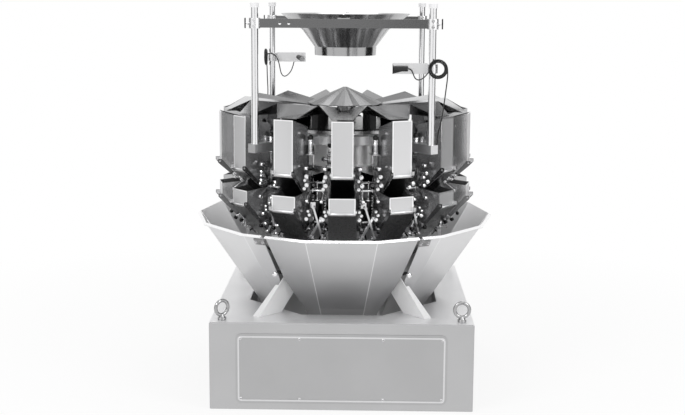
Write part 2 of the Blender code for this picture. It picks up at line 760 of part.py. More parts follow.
def build_heads(parts, scratch, tools, bright, dark):
    head = head_mesh(scratch, tools)
    feed = gate_mesh("feed_gate", FEED_WIDTH, FEED_BOTTOM_Z, FEED_SLOPE, FEED_LEAF_LENGTH,
                     FEED_HINGE_RISE, scratch, tools)
    weigh = gate_mesh("weigh_gate", WEIGH_WIDTH, WEIGH_BOTTOM_Z, WEIGH_SLOPE, WEIGH_LEAF_LENGTH,
                      WEIGH_HINGE_RISE, scratch, tools)
    for index in range(HEAD_COUNT):
        number = "%02d" % (index + 1)
        axis = bpy.data.objects.new("head_axis_" + number, None)
        parts.objects.link(axis)
        axis.rotation_euler.z = index * HEAD_PITCH
        hoppers = place("hoppers_" + number, head, parts, bright)
        hoppers.parent = axis
        feed_gate = place("feed_gate_" + number, feed, parts, bright)
        feed_gate.parent = axis
        feed_gate.location = (0, -HINGE_RADIUS, FEED_BOTTOM_Z + FEED_HINGE_RISE)
        weigh_gate = place("weigh_gate_" + number, weigh, parts, dark)
        weigh_gate.parent = axis
        weigh_gate.location = (0, -HINGE_RADIUS, WEIGH_BOTTOM_Z + WEIGH_HINGE_RISE)


# Linear feeder pans on their vibrator posts

def pan_point(radius, half_width, z):
    return Vector((half_width, -radius, z))


def ridge_point(radius, z):
    # On the line halfway to the next head, less half the gap between two pans
    angle = HEAD_PITCH / 2
    return outward(angle, radius, z) - sideways(angle) * PAN_RIDGE_GAP / 2


def pan_section(at_outer):
    if at_outer:
        side = pan_point(PAN_OUTER_RADIUS, PAN_OUTER_HALF_WIDTH, PAN_FLOOR_Z)
        ridge = ridge_point(PAN_RIDGE_OUTER_RADIUS, PAN_RIDGE_OUTER_Z)
    else:
        side = pan_point(PAN_INNER_RADIUS, PAN_INNER_HALF_WIDTH, PAN_FLOOR_Z)
        ridge = ridge_point(PAN_INNER_RADIUS, PAN_RIDGE_INNER_Z)
    right = [side, ridge]
    left = [Vector((-point.x, point.y, point.z)) for point in reversed(right)]
    return left + right


def build_pans(parts, scratch, tools, bright):
    bm = bmesh.new()
    add_sheet(bm, [pan_section(False), pan_section(True)], False)
    pan = place("pan_sheet", mesh_from(bm, "pan_sheet"), scratch)
    solidify(pan, PAN_SHEET, -1)
    pan_mesh = bake(pan, "pan")
    bpy.data.objects.remove(pan, do_unlink=True)
    hub_z = DRUM_TOP_Z + TOP_PLATE_THICK + SEAT_GAP
    profile = ((HUB_RADIUS, hub_z + HUB_THICK), (HUB_RADIUS, hub_z), (HUB_HOLE_RADIUS, hub_z),
               (HUB_HOLE_RADIUS, hub_z + HUB_THICK))
    item = turned("feeder_pans", profile, HEAD_COUNT * 2, parts, bright)

    def feeder(bm):
        add_box(bm, (-FEEDER_WIDTH / 2, -FEEDER_OUTER, hub_z + HUB_THICK - OVERRUN),
                (FEEDER_WIDTH / 2, -FEEDER_INNER, PAN_FLOOR_Z + PAN_SHEET / 2))

    pieces = []
    for index in range(HEAD_COUNT):
        number = "%02d" % (index + 1)
        for label, mesh_item in (("feeder_", helper("feeder_" + number, feeder, tools)),
                                 ("pan_", place("pan_" + number, pan_mesh, tools))):
            mesh_item.rotation_euler.z = index * HEAD_PITCH
            pieces.append(mesh_item)
    weld(item, pieces, tools)


# Dispersion cone

def build_cone(parts, tools, bright):
    bm = bmesh.new()
    edge_top = []
    edge_low = []
    tip = []
    for index in range(HEAD_COUNT * 2):
        angle = index * HEAD_PITCH / 2
        drop = CONE_FLUTE_DROP if index % 2 == 0 else 0
        edge_top.append(outward(angle, CONE_RADIUS - drop, CONE_EDGE_Z + CONE_EDGE_THICK - drop / 4))
        edge_low.append(outward(angle, CONE_RADIUS - drop, CONE_EDGE_Z - drop / 4))
        tip.append(outward(angle, CONE_TIP_RADIUS, CONE_TOP_Z))
    rings = [[bm.verts.new(point) for point in ring] for ring in (edge_low, edge_top, tip)]
    count = len(edge_low)
    low_centre = bm.verts.new((0, 0, CONE_EDGE_Z))
    for index in range(count):
        following = (index + 1) % count
        bm.faces.new((rings[0][index], rings[0][following], rings[1][following], rings[1][index]))
        bm.faces.new((rings[1][index], rings[1][following], rings[2][following], rings[2][index]))
        bm.faces.new((low_centre, rings[0][following], rings[0][index]))
    bm.faces.new(rings[2])
    item = place("top_cone", mesh_from(bm, "top_cone"), parts, bright)
    stem_z = DRUM_TOP_Z + TOP_PLATE_THICK + SEAT_GAP

    def stem(bm):
        add_cylinder(bm, (0, 0, stem_z), (0, 0, CONE_EDGE_Z + CONE_EDGE_THICK), CONE_STEM_RADIUS, 16)

    weld(item, [helper("cone_stem", stem, tools)], tools)


# Posts, arms and bars

def post_places():
    places = []
    for label, angle in (("front_left", -POST_ANGLE), ("front_right", POST_ANGLE),
                         ("back_left", POST_ANGLE - math.pi), ("back_right", math.pi - POST_ANGLE)):
        places.append((label, angle, outward(angle, POST_CIRCLE, 0)))
    return places


def build_masts(parts, tools, bright):
    first = outward(POST_ANGLE, POST_CIRCLE, 0)
    half_bar = first.x
    low = BAR_MIDDLE_Z - BAR_HEIGHT / 2
    band = ((BAND_RADIUS, ARM_BOTTOM_Z + ARM_SIZE), (BAND_RADIUS, ARM_BOTTOM_Z),
            (DRUM_RADIUS + SEAT_GAP, ARM_BOTTOM_Z), (DRUM_RADIUS + SEAT_GAP, ARM_BOTTOM_Z + ARM_SIZE))
    item = turned("mast_frame", band, ROUND_STEPS, parts, bright)
    pieces = []
    for label, side in (("front_bar", -1), ("back_bar", 1)):
        def bar(bm, y=side * abs(first.y)):
            add_box(bm, (-half_bar, y - BAR_THICK / 2, low), (half_bar, y + BAR_THICK / 2, low + BAR_HEIGHT))
        pieces.append(helper(label, bar, tools))
    for label, angle, foot in post_places():
        def post(bm, at=foot):
            up = Vector((0, 0, 1))
            add_cylinder(bm, at + up * (ARM_BOTTOM_Z + OVERRUN), at + up * POST_TOP_Z, POST_RADIUS, POST_SIDES)

        def cap(bm, at=foot):
            up = Vector((0, 0, 1))
            add_cylinder(bm, at + up * (POST_TOP_Z - CAP_HEIGHT / 2), at + up * (POST_TOP_Z + CAP_HEIGHT / 2),
                         CAP_RADIUS, POST_SIDES)

        def clamp(bm, at=foot):
            up = Vector((0, 0, 1))
            add_cylinder(bm, at + up * (BAR_MIDDLE_Z - CLAMP_HEIGHT / 2),
                         at + up * (BAR_MIDDLE_Z + CLAMP_HEIGHT / 2), CLAMP_RADIUS, POST_SIDES)

        def arm(bm, turn=angle):
            inner = (DRUM_RADIUS + BAND_RADIUS) / 2
            add_box(bm, (-ARM_SIZE / 2, -POST_CIRCLE - ARM_OVERHANG, ARM_BOTTOM_Z + ARM_STEP),
                    (ARM_SIZE / 2, -inner, ARM_BOTTOM_Z + ARM_SIZE - ARM_STEP))
            bmesh.ops.rotate(bm, verts=bm.verts, cent=(0, 0, 0), matrix=Matrix.Rotation(turn, 3, "Z"))

        for kind, build in (("post_", post), ("cap_", cap), ("clamp_", clamp), ("arm_", arm)):
            pieces.append(helper(kind + label, build, tools))
    weld(item, pieces, tools)

    def holes(bm):
        for x in BAR_HOLE_PLACES:
            add_cylinder(bm, (x, first.y - BAR_THICK, BAR_MIDDLE_Z), (x, first.y + BAR_THICK, BAR_MIDDLE_Z),
                         BAR_HOLE_RADIUS, 12)

    weld(item, [helper("bar_holes", holes, tools)], tools, "DIFFERENCE")


# Infeed funnel, which rests on the two bars by its tabs

def build_funnel(parts, tools, bright):
    outer = ((FUNNEL_RIM_RADIUS, FUNNEL_RIM_Z), (FUNNEL_WAIST_RADIUS, FUNNEL_WAIST_Z),
             (FUNNEL_NECK_RADIUS, FUNNEL_NECK_Z), (FUNNEL_MOUTH_RADIUS, FUNNEL_MOUTH_Z))
    inner = [(radius - FUNNEL_SHEET, z) for radius, z in reversed(outer)]
    item = turned("infeed_funnel", list(outer) + inner, ROUND_STEPS, parts, bright)
    bar_y = abs(outward(POST_ANGLE, POST_CIRCLE, 0).y)
    tab_z = BAR_MIDDLE_Z + BAR_HEIGHT / 2 + SEAT_GAP
    pieces = []
    for label, side in (("front", -1), ("back", 1)):
        def tab(bm, s=side):
            near = s * TAB_INNER
            far = s * (bar_y + BAR_THICK / 2)
            add_box(bm, (-TAB_WIDTH / 2, min(near, far), tab_z), (TAB_WIDTH / 2, max(near, far), tab_z + TAB_THICK))
        pieces.append(helper("tab_" + label, tab, tools))
    weld(item, pieces, tools)


# Level sensors, each on an arm clamped to a post

def sensor_places():
    # Name, middle of the post, side that the arm reaches to, and the two ends of the barrel
    left = outward(POST_ANGLE - math.pi, POST_CIRCLE, SENSOR_Z)
    right = outward(POST_ANGLE, POST_CIRCLE, SENSOR_Z)
    through = left + Vector((SENSOR_ARM_LENGTH - SENSOR_INSET, 0, 0))
    to_cone = (Vector((0, 0, CONE_TOP_Z)) - through).normalized()
    beside = right + Vector((SENSOR_INSET - SENSOR_ARM_LENGTH, -SENSOR_RADIUS, 0))
    half = Vector((SENSOR_LENGTH / 2, 0, 0))
    return (("sensor_left", left, 1, through - to_cone * SENSOR_REAR, through + to_cone * SENSOR_FRONT),
            ("sensor_right", right, -1, beside + half, beside - half))


def build_sensor(name, post, side, start, end, parts, tools, bright):
    bm = bmesh.new()
    rise = Vector((0, 0, SENSOR_CLAMP_HEIGHT / 2))
    add_cylinder(bm, post - rise, post + rise, SENSOR_CLAMP_RADIUS, POST_SIDES)
    item = place(name, mesh_from(bm, name), parts, bright)

    def arm(bm):
        near = post.x + side * (POST_RADIUS + SENSOR_CLAMP_RADIUS) / 2
        far = post.x + side * SENSOR_ARM_LENGTH
        add_box(bm, (min(near, far), post.y - SENSOR_ARM_THICK / 2, post.z - SENSOR_ARM_HEIGHT / 2),
                (max(near, far), post.y + SENSOR_ARM_THICK / 2, post.z + SENSOR_ARM_HEIGHT / 2))

    def barrel(bm):
        add_cylinder(bm, start, end, SENSOR_RADIUS, SENSOR_SIDES)

    def bore(bm):
        add_cylinder(bm, post - rise * 2, post + rise * 2, POST_RADIUS + SEAT_GAP, POST_SIDES)

    weld(item, [helper(name + "_arm", arm, tools), helper(name + "_barrel", barrel, tools)], tools)
    weld(item, [helper(name + "_bore", bore, tools)], tools, "DIFFERENCE")


# Sensor leads: a hanging loop, a coil that hangs on the clamp, and a run down to the arm

def smooth_route(points):
    # Evenly spaced points on a smooth curve through the route's own points
    dense = []
    for index in range(len(points) - 1):
        before = points[max(index - 1, 0)]
        start = points[index]
        end = points[index + 1]
        after = points[min(index + 2, len(points) - 1)]
        for step in range(20):
            t = step / 20
            dense.append(((start * 2) + (end - before) * t
                          + (before * 2 - start * 5 + end * 4 - after) * t ** 2
                          + (start * 3 - before - end * 3 + after) * t ** 3) / 2)
    dense.append(points[-1])
    route = [dense[0]]
    travelled = 0
    for before, after in zip(dense, dense[1:]):
        travelled += (after - before).length
        if travelled >= LEAD_STEP:
            route.append(after)
            travelled = 0
    if (route[-1] - dense[-1]).length < LEAD_STEP / 2:
        route.pop()
    route.append(dense[-1])
    return route


def tube(name, points, group):
    curve = bpy.data.curves.new(name, "CURVE")
    curve.dimensions = "3D"
    curve.bevel_depth = LEAD_RADIUS
    curve.bevel_resolution = 2
    curve.use_fill_caps = True
    spline = curve.splines.new("POLY")
    route = smooth_route(points)
    spline.points.add(len(route) - 1)
    for point, place_at in zip(spline.points, route):
        point.co = (place_at.x, place_at.y, place_at.z, 1)
    wire = place(name + "_curve", curve, group)
    mesh = bake(wire, name)
    bpy.data.objects.remove(wire, do_unlink=True)
    bm = bmesh.new()
    bm.from_mesh(mesh)
    bmesh.ops.remove_doubles(bm, verts=bm.verts, dist=LEAD_RADIUS / 100)
    bmesh.ops.recalc_face_normals(bm, faces=bm.faces)
    bm.to_mesh(mesh)
    bm.free()
    return place(name, mesh, group)


def coil_profile():
    # The coil's cross-section, from its outer side inwards
    points = []
    for step in range(COIL_PROFILE_STEPS):
        angle = math.pi / 2 - 2 * math.pi * step / COIL_PROFILE_STEPS
        points.append((COIL_RADIUS + COIL_BAR_RADIUS * math.cos(angle), COIL_BAR_RADIUS * math.sin(angle)))
    return points


def build_lead(name, coil_at, coil_turn, loop, run, parts, tools, rubber):
    item = turned(name, coil_profile(), COIL_STEPS, parts, rubber)
    item.location = coil_at
    item.rotation_euler = coil_turn
    weld(item, [tube(name + "_loop", loop, tools), tube(name + "_run", run, tools)], tools)


def arm_flank(angle):
    # Where a lead enters the side of its arm, and the way out of that side
    aside = sideways(angle)
    middle = outward(angle, POST_CIRCLE - LEAD_ENTRY, ARM_BOTTOM_Z + ARM_SIZE / 2)
    return middle + aside * (ARM_SIZE / 2 + LEAD_GAP), aside


def build_leads(parts, tools, rubber):
    hang = SENSOR_CLAMP_RADIUS + SEAT_GAP + COIL_BAR_RADIUS
    (_, post, _, start, end), _ = sensor_places()
    back = (start - end).normalized()
    coil = post + Vector((-hang, 0, 0))
    low = coil - Vector((0, 0, COIL_RADIUS))
    high = coil + Vector((0, -COIL_RADIUS, 0))
    loop = [start + back * LEAD_GAP, start + back * 0.012, start + Vector((-0.012, 0.012, -0.026)),
            post + Vector((0.090, 0.020, -0.066)), post + Vector((0.072, 0.008, -0.088)),
            post + Vector((0.055, -0.010, -0.094)), post + Vector((0.043, -0.024, -0.076)),
            post + Vector((0.037, -0.034, -0.034)), post + Vector((0.030, -0.037, -0.006)),
            post + Vector((0.004, -0.038, 0.004)), high]
    flank, aside = arm_flank(POST_ANGLE - math.pi)
    run = [low, low + Vector((0.004, 0, -0.040)), low + Vector((0.008, -0.006, -0.110)),
           low + Vector((0.010, -0.012, -0.190)), flank + aside * 0.026 + Vector((0, 0, 0.050)),
           flank + aside * 0.022, flank + aside * 0.010, flank]
    build_lead("lead_left", coil, (0, math.pi / 2, 0), loop, run, parts, tools, rubber)

    _, (_, post, _, start, _) = sensor_places()
    coil = post + Vector((SENSOR_RADIUS * 2, -hang, 0))
    low = coil + Vector((COIL_RADIUS * COIL_LOW_SHARE, 0, -COIL_RADIUS))
    high = coil + Vector((-COIL_RADIUS, 0, 0))
    loop = [start + Vector((LEAD_GAP, 0, 0)), start + Vector((0.014, 0, 0)),
            start + Vector((0.021, -0.004, -0.022)), start + Vector((0.032, -0.010, -0.044)),
            start + Vector((0.052, -0.016, -0.044)), start + Vector((0.074, -0.020, -0.022)), high]
    flank, aside = arm_flank(POST_ANGLE)
    run = [low, low + Vector((0.004, 0.006, -0.040)), low + Vector((0.002, 0.016, -0.120)),
           low + Vector((0.006, 0.022, -0.210)), flank + aside * 0.026 + Vector((0, 0, 0.050)),
           flank + aside * 0.022, flank + aside * 0.010, flank]
    build_lead("lead_right", coil, (math.pi / 2, 0, 0), loop, run, parts, tools, rubber)


def main():
    clear_scene()
    parts = new_collection("multihead_weigher")
    tools = new_collection("cutters_and_welds")
    scratch = new_collection("scratch_forms")
    steel = new_material("brushed_steel", STEEL, 1.0, 0.35)
    bright = new_material("bright_steel", BRIGHT, 1.0, 0.22)
    dark = new_material("gate_steel", DARK, 1.0, 0.30)
    rubber = new_material("lead_rubber", BLACK, 0.0, 0.55)
    build_base(parts, tools, steel)
    build_chutes(parts, steel)
    build_support(parts, tools, steel)
    build_body(parts, tools, bright)
    build_heads(parts, scratch, tools, bright, dark)
    build_pans(parts, scratch, tools, bright)
    build_cone(parts, tools, bright)
    build_masts(parts, tools, bright)
    build_funnel(parts, tools, bright)
    for name, post, side, start, end in sensor_places():
        build_sensor(name, post, side, start, end, parts, tools, bright)
    build_leads(parts, tools, rubber)
    for item in parts.objects:
        if item.type == "MESH" and item.data.polygons:
            round_smooth(item)


main()
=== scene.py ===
# Looks of a fourteen-head multihead weigher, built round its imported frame.
# Metres, +Z up, front towards -Y. Head 1 is at the front and the heads count on towards +X.

import math

import bpy
from mathutils import Matrix, Vector


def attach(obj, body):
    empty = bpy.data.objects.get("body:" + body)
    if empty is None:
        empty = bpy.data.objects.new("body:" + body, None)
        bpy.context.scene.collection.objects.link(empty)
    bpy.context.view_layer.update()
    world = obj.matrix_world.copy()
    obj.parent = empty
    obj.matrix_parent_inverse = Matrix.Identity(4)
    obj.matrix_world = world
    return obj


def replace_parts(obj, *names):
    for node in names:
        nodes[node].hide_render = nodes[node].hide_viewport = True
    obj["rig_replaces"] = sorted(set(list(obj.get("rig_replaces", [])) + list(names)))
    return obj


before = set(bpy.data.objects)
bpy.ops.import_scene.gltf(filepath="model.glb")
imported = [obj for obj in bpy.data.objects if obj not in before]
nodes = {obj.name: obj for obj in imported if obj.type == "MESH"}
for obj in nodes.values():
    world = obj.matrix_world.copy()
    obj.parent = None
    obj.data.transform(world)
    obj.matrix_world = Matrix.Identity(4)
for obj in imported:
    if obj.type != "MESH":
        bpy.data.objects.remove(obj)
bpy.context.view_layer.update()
headPitch = 2 * math.pi / 14


# Small helpers for working as by hand

def pick(*items):
    if bpy.context.mode != "OBJECT":
        bpy.ops.object.mode_set(mode="OBJECT")
    bpy.ops.object.select_all(action="DESELECT")
    for item in items:
        item.select_set(True)
    bpy.context.view_layer.objects.active = items[0]


def openFaces(item, test):
    # Leaves the piece in edit mode with the faces that pass the test selected
    pick(item)
    bpy.ops.object.mode_set(mode="EDIT")
    bpy.ops.mesh.select_mode(type="FACE")
    bpy.ops.mesh.select_all(action="DESELECT")
    bpy.ops.object.mode_set(mode="OBJECT")
    for face in item.data.polygons:
        face.select = bool(test(face.center, face.normal))
    bpy.ops.object.mode_set(mode="EDIT")


def openEdges(item, test):
    # The same for edges: the test gets both ends and the angle between the two faces, in degrees
    pick(item)
    bpy.ops.object.mode_set(mode="EDIT")
    bpy.ops.mesh.select_mode(type="EDGE")
    bpy.ops.mesh.select_all(action="DESELECT")
    bpy.ops.object.mode_set(mode="OBJECT")
    mesh = item.data
    normals = {}
    for face in mesh.polygons:
        for key in face.edge_keys:
            normals.setdefault(key, []).append(face.normal.copy())
    for edge in mesh.edges:
        pair = normals.get(edge.key, [])
        bend = math.degrees(pair[0].angle(pair[1], 0)) if len(pair) == 2 else 180
        start, end = (mesh.vertices[i].co for i in edge.vertices)
        edge.select = bool(test(start, end, bend))
    bpy.ops.object.mode_set(mode="EDIT")


def closeEdit():
    bpy.ops.object.mode_set(mode="OBJECT")


def bevelPicked(width, steps, finish=-1):
    bpy.ops.mesh.bevel(offset=width, segments=steps, affect="EDGES", clamp_overlap=True, material=finish)
    closeEdit()


def applied(item, kind, **settings):
    pick(item)
    modifier = item.modifiers.new("work", kind)
    for key, value in settings.items():
        setattr(modifier, key, value)
    bpy.ops.object.modifier_apply(modifier="work")
    return item


def softShade(item, angle=35):
    pick(item)
    bpy.ops.object.shade_smooth_by_angle(angle=math.radians(angle))
    return item


def dress(item, *finishes):
    item.data.materials.clear()
    for finish in finishes:
        item.data.materials.append(finish)
    return item


def named(name):
    item = bpy.context.object
    item.name = name
    item.data.name = name
    bpy.ops.object.transform_apply(location=True, rotation=True, scale=True)
    return item


def block(name, low, high):
    low, high = Vector(low), Vector(high)
    pickNothing()
    bpy.ops.mesh.primitive_cube_add(size=1, location=(low + high) / 2, scale=high - low)
    return named(name)


def turnedRod(name, start, end, radius, sides=16, farRadius=None):
    start, end = Vector(start), Vector(end)
    axis = end - start
    pickNothing()
    tip = radius if farRadius is None else farRadius
    bpy.ops.mesh.primitive_cone_add(vertices=sides, radius1=radius, radius2=tip, depth=axis.length,
                                    location=(start + end) / 2,
                                    rotation=axis.to_track_quat("Z", "Y").to_euler())
    return named(name)


def ringOf(name, centre, axis, radius, bar, around=36, across=10):
    pickNothing()
    bpy.ops.mesh.primitive_torus_add(major_radius=radius, minor_radius=bar, major_segments=around,
                                     minor_segments=across, location=centre,
                                     rotation=Vector(axis).to_track_quat("Z", "Y").to_euler())
    return named(name)


def pickNothing():
    if bpy.context.mode != "OBJECT":
        bpy.ops.object.mode_set(mode="OBJECT")
    bpy.ops.object.select_all(action="DESELECT")


def joined(name, items):
    pick(*items)
    if len(items) > 1:
        bpy.ops.object.join()
    item = bpy.context.object
    item.name = name
    item.data.name = name
    return item


def copied(item, name, matrix):
    twin = item.copy()
    twin.data = item.data.copy()
    twin.data.transform(matrix)
    twin.name = name
    twin.data.name = name
    bpy.context.scene.collection.objects.link(twin)
    return twin


def remove(item):
    bpy.data.objects.remove(item, do_unlink=True)


def carried(item, body):
    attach(item, body)
    return item


def outward(angle, radius, z):
    return Vector((radius * math.sin(angle), -radius * math.cos(angle), z))


def takeOver(nodeName, pieceName, finishes, merge=0.00002):
    # A merged copy of a CAD node with its flat faces made whole again, which then stands for the node
    piece = bpy.data.objects.new(pieceName, nodes[nodeName].data.copy())
    bpy.context.scene.collection.objects.link(piece)
    pick(piece)
    if piece.data.has_custom_normals:
        bpy.ops.mesh.customdata_custom_splitnormals_clear()
    bpy.ops.object.mode_set(mode="EDIT")
    bpy.ops.mesh.select_all(action="SELECT")
    bpy.ops.mesh.remove_doubles(threshold=merge)
    bpy.ops.mesh.dissolve_limited(angle_limit=math.radians(0.4))
    closeEdit()
    dress(piece, *finishes)
    for face in piece.data.polygons:
        face.material_index = 0
    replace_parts(piece, nodeName)
    return piece


def paintFaces(item, index, test):
    for face in item.data.polygons:
        if test(face.center, face.normal):
            face.material_index = index


# Finishes. Every steel has a brushed grain in its roughness and bump, and slight clouds in its colour. Some
# are lighter or darker copies of a steel, laid on as painted highlights and painted shade, and some carry
# painted shade by height.

def steelFinish(name, colour, roughness, grain, stretch, cloud=0.06, depth=0.04, metal=1.0, spread=0.07,
                dimples=0, tones=None, brushed=0):
    material = bpy.data.materials.new(name)
    material.use_nodes = True
    tree = material.node_tree
    shader = tree.nodes["Principled BSDF"]
    shader.inputs["Metallic"].default_value = metal
    place = tree.nodes.new("ShaderNodeTexCoord")
    mapping = tree.nodes.new("ShaderNodeMapping")
    mapping.inputs["Scale"].default_value = stretch
    tree.links.new(place.outputs["Object"], mapping.inputs["Vector"])
    lines = tree.nodes.new("ShaderNodeTexNoise")
    lines.inputs["Scale"].default_value = grain
    lines.inputs["Detail"].default_value = 4
    tree.links.new(mapping.outputs["Vector"], lines.inputs["Vector"])
    rough = tree.nodes.new("ShaderNodeMapRange")
    rough.inputs["To Min"].default_value = roughness - spread
    rough.inputs["To Max"].default_value = roughness + spread
    tree.links.new(lines.outputs["Fac"], rough.inputs["Value"])
    tree.links.new(rough.outputs["Result"], shader.inputs["Roughness"])
    bump = tree.nodes.new("ShaderNodeBump")
    bump.inputs["Strength"].default_value = depth
    bump.inputs["Distance"].default_value = 0.001
    tree.links.new(lines.outputs["Fac"], bump.inputs["Height"])
    tree.links.new(bump.outputs["Normal"], shader.inputs["Normal"])
    if brushed:  # turned on a lathe, so a light stretches up and down
        ways = tree.nodes.new("ShaderNodeTangent")
        ways.direction_type = "RADIAL"
        ways.axis = "Z"
        tree.links.new(ways.outputs["Tangent"], shader.inputs["Tangent"])
        shader.inputs["Anisotropic"].default_value = brushed
        shader.inputs["Anisotropic Rotation"].default_value = 0.25
    if dimples:  # the small pressed pattern of hopper sheet, so many to a metre
        pressed = tree.nodes.new("ShaderNodeTexVoronoi")
        pressed.feature = "SMOOTH_F1"
        pressed.inputs["Scale"].default_value = dimples
        tree.links.new(place.outputs["Object"], pressed.inputs["Vector"])
        embossed = tree.nodes.new("ShaderNodeBump")
        embossed.inputs["Strength"].default_value = 0.22
        embossed.inputs["Distance"].default_value = 0.0008
        tree.links.new(pressed.outputs["Distance"], embossed.inputs["Height"])
        tree.links.new(bump.outputs["Normal"], embossed.inputs["Normal"])
        tree.links.new(embossed.outputs["Normal"], shader.inputs["Normal"])
    clouds = tree.nodes.new("ShaderNodeTexNoise")
    clouds.inputs["Scale"].default_value = 5
    clouds.inputs["Detail"].default_value = 3
    tree.links.new(place.outputs["Object"], clouds.inputs["Vector"])
    tone = tree.nodes.new("ShaderNodeMix")
    tone.data_type = "RGBA"
    tone.inputs["A"].default_value = (*[c * (1 - cloud) for c in colour], 1)
    tone.inputs["B"].default_value = (*[min(c * (1 + cloud), 1) for c in colour], 1)
    tree.links.new(clouds.outputs["Fac"], tone.inputs["Factor"])
    # Tones multiply the colour by a share read from height: where the share falls off, as on the chutes and
    # legs, this is painted shade
    if tones:  # heights in metres and the share of the colour there
        split = tree.nodes.new("ShaderNodeSeparateXYZ")
        tree.links.new(place.outputs["Object"], split.inputs["Vector"])
        ramp = tree.nodes.new("ShaderNodeValToRGB")
        while len(ramp.color_ramp.elements) < len(tones):
            ramp.color_ramp.elements.new(0.5)
        for element, (height, share) in zip(ramp.color_ramp.elements, tones):
            element.position = height
            element.color = (share, share, share, 1)
        tree.links.new(split.outputs["Z"], ramp.inputs["Fac"])
        shaded = tree.nodes.new("ShaderNodeMix")
        shaded.data_type = "RGBA"
        shaded.blend_type = "MULTIPLY"
        shaded.inputs["Factor"].default_value = 1
        tree.links.new(tone.outputs["Result"], shaded.inputs["A"])
        tree.links.new(ramp.outputs["Color"], shaded.inputs["B"])
        tree.links.new(shaded.outputs["Result"], shader.inputs["Base Color"])
    else:
        tree.links.new(tone.outputs["Result"], shader.inputs["Base Color"])
    return material


def greyFinish(name, grey, roughness, grain=90, stretch=(1, 1, 12), **more):
    return steelFinish(name, (grey, grey, grey * 1.01), roughness, grain, stretch, **more)


housingSteel = greyFinish("housingSteel", 0.52, 0.40, stretch=(1, 1, 14))
# A lighter copy of the housing steel for the deck on top of the base, painted light on the upward face
deckPaintedLight = greyFinish("deckPaintedLight", 0.86, 0.36, stretch=(1, 14, 1), metal=0.45)
eyeSteel = greyFinish("eyeSteel", 0.42, 0.10, depth=0.01)
# The chutes' steels are darker towards the bottom, a painted shade where the chutes run down into the base
sideChuteSteel = greyFinish("sideChuteSteel", 0.73, 0.36, stretch=(9, 9, 1), metal=0.7,
                            tones=((0.37, 0.55), (0.50, 0.85), (0.70, 1)))
latchSteel = greyFinish("latchSteel", 0.30, 0.34)
coverSteel = greyFinish("coverSteel", 0.47, 0.42, stretch=(1, 1, 14))
# A lighter copy of the housing steel for the base's top edges and the cover's bead, a painted highlight
beadPaintedHighlight = greyFinish("beadPaintedHighlight", 0.72, 0.30)
chuteSteel = greyFinish("chuteSteel", 0.66, 0.36, stretch=(9, 9, 1),
                        tones=((0.37, 0.34), (0.45, 0.42), (0.55, 0.68), (0.66, 0.92), (0.74, 1)))
# Lighter steel on the chutes' creases, a painted highlight along each crease, which also darkens towards the
# bottom as painted shade
creasePaintedHighlight = greyFinish("creasePaintedHighlight", 0.90, 0.30, tones=((0.37, 0.45), (0.50, 0.70), (0.70, 1)))
# A near-white copy of the chute steel for the chutes' lips, a painted highlight
lipPaintedHighlight = greyFinish("lipPaintedHighlight", 0.95, 0.25)
# The legs' steel is darker towards the top, a painted shade, and their outer faces take a near-white copy as
# a painted highlight
legSteel = greyFinish("legSteel", 0.97, 0.42, metal=0.15, tones=((0.37, 1), (0.48, 0.92), (0.60, 0.40)))
legEdgePaintedHighlight = greyFinish("legEdgePaintedHighlight", 1.0, 0.30, metal=0.1)
bodySteel = greyFinish("bodySteel", 0.42, 0.26)
# The drum is brushed round as on a lathe, and its near-white colour is a painted reflection of the bright
# surroundings
drumBrushedPaintedSheen = greyFinish("drumBrushedPaintedSheen", 1.0, 0.34, depth=0.01, spread=0.04, metal=0.35, brushed=0.85)
driveSteel = greyFinish("driveSteel", 0.14, 0.18)
hopperPlate = greyFinish("hopperPlate", 0.64, 0.46, stretch=(10, 10, 1), cloud=0.03, metal=0.8, dimples=230)
# Near-white steel: a painted highlight on the hoppers' front edges and folds, and the own bright steel of the
# hinge pins
foldHighlightAndPinSteel = greyFinish("foldHighlightAndPinSteel", 1.0, 0.30)
hopperInside = greyFinish("hopperInside", 0.50, 0.22, metal=0.85, dimples=230)
feedGateSteel = greyFinish("feedGateSteel", 0.14, 0.24, dimples=230)
weighGateSteel = greyFinish("weighGateSteel", 0.24, 0.28, dimples=230)
# Lighter steel on the gates' edges, a painted highlight
gateEdgePaintedHighlight = greyFinish("gateEdgePaintedHighlight", 0.75, 0.24)
panSteel = greyFinish("panSteel", 0.24, 0.22, stretch=(4, 4, 1))
# Near-black steel on the sloped flanks of the pans' ridges, a painted shade
ridgePaintedShade = greyFinish("ridgePaintedShade", 0.07, 0.22)
# Lighter steel on the pans' edges, a painted highlight
panEdgePaintedHighlight = greyFinish("panEdgePaintedHighlight", 0.85, 0.26)
coneSteel = greyFinish("coneSteel", 0.24, 0.24)
postSteel = greyFinish("postSteel", 0.85, 0.10, depth=0.01, spread=0.03)
barSteel = greyFinish("barSteel", 0.17, 0.26)
capWhite = greyFinish("capWhite", 0.90, 0.35, metal=0.0)
funnelSteel = greyFinish("funnelSteel", 0.85, 0.16, stretch=(1, 1, 20), tones=((0, 0.5), (1, 0.5)))
funnelRimSteel = greyFinish("funnelRimSteel", 0.88, 0.20)
armSteel = greyFinish("armSteel", 0.80, 0.36)
chrome = greyFinish("chrome", 0.86, 0.06, depth=0.005, spread=0.02)
darkSteel = greyFinish("darkSteel", 0.030, 0.22, metal=0.9)
bodyBright = greyFinish("bodyBright", 0.66, 0.20)
boltSteel = greyFinish("boltSteel", 0.70, 0.18)
springSteel = greyFinish("springSteel", 0.62, 0.14)
blackPlastic = greyFinish("blackPlastic", 0.012, 0.42, metal=0.0, cloud=0.2)
leadRubber = greyFinish("leadRubber", 0.010, 0.50, grain=400, metal=0.0, cloud=0.25)
print("finishes made")


# Small parts that repeat on the machine

sunk = 0.0002  # how far a washer or a screw head reaches into its seat


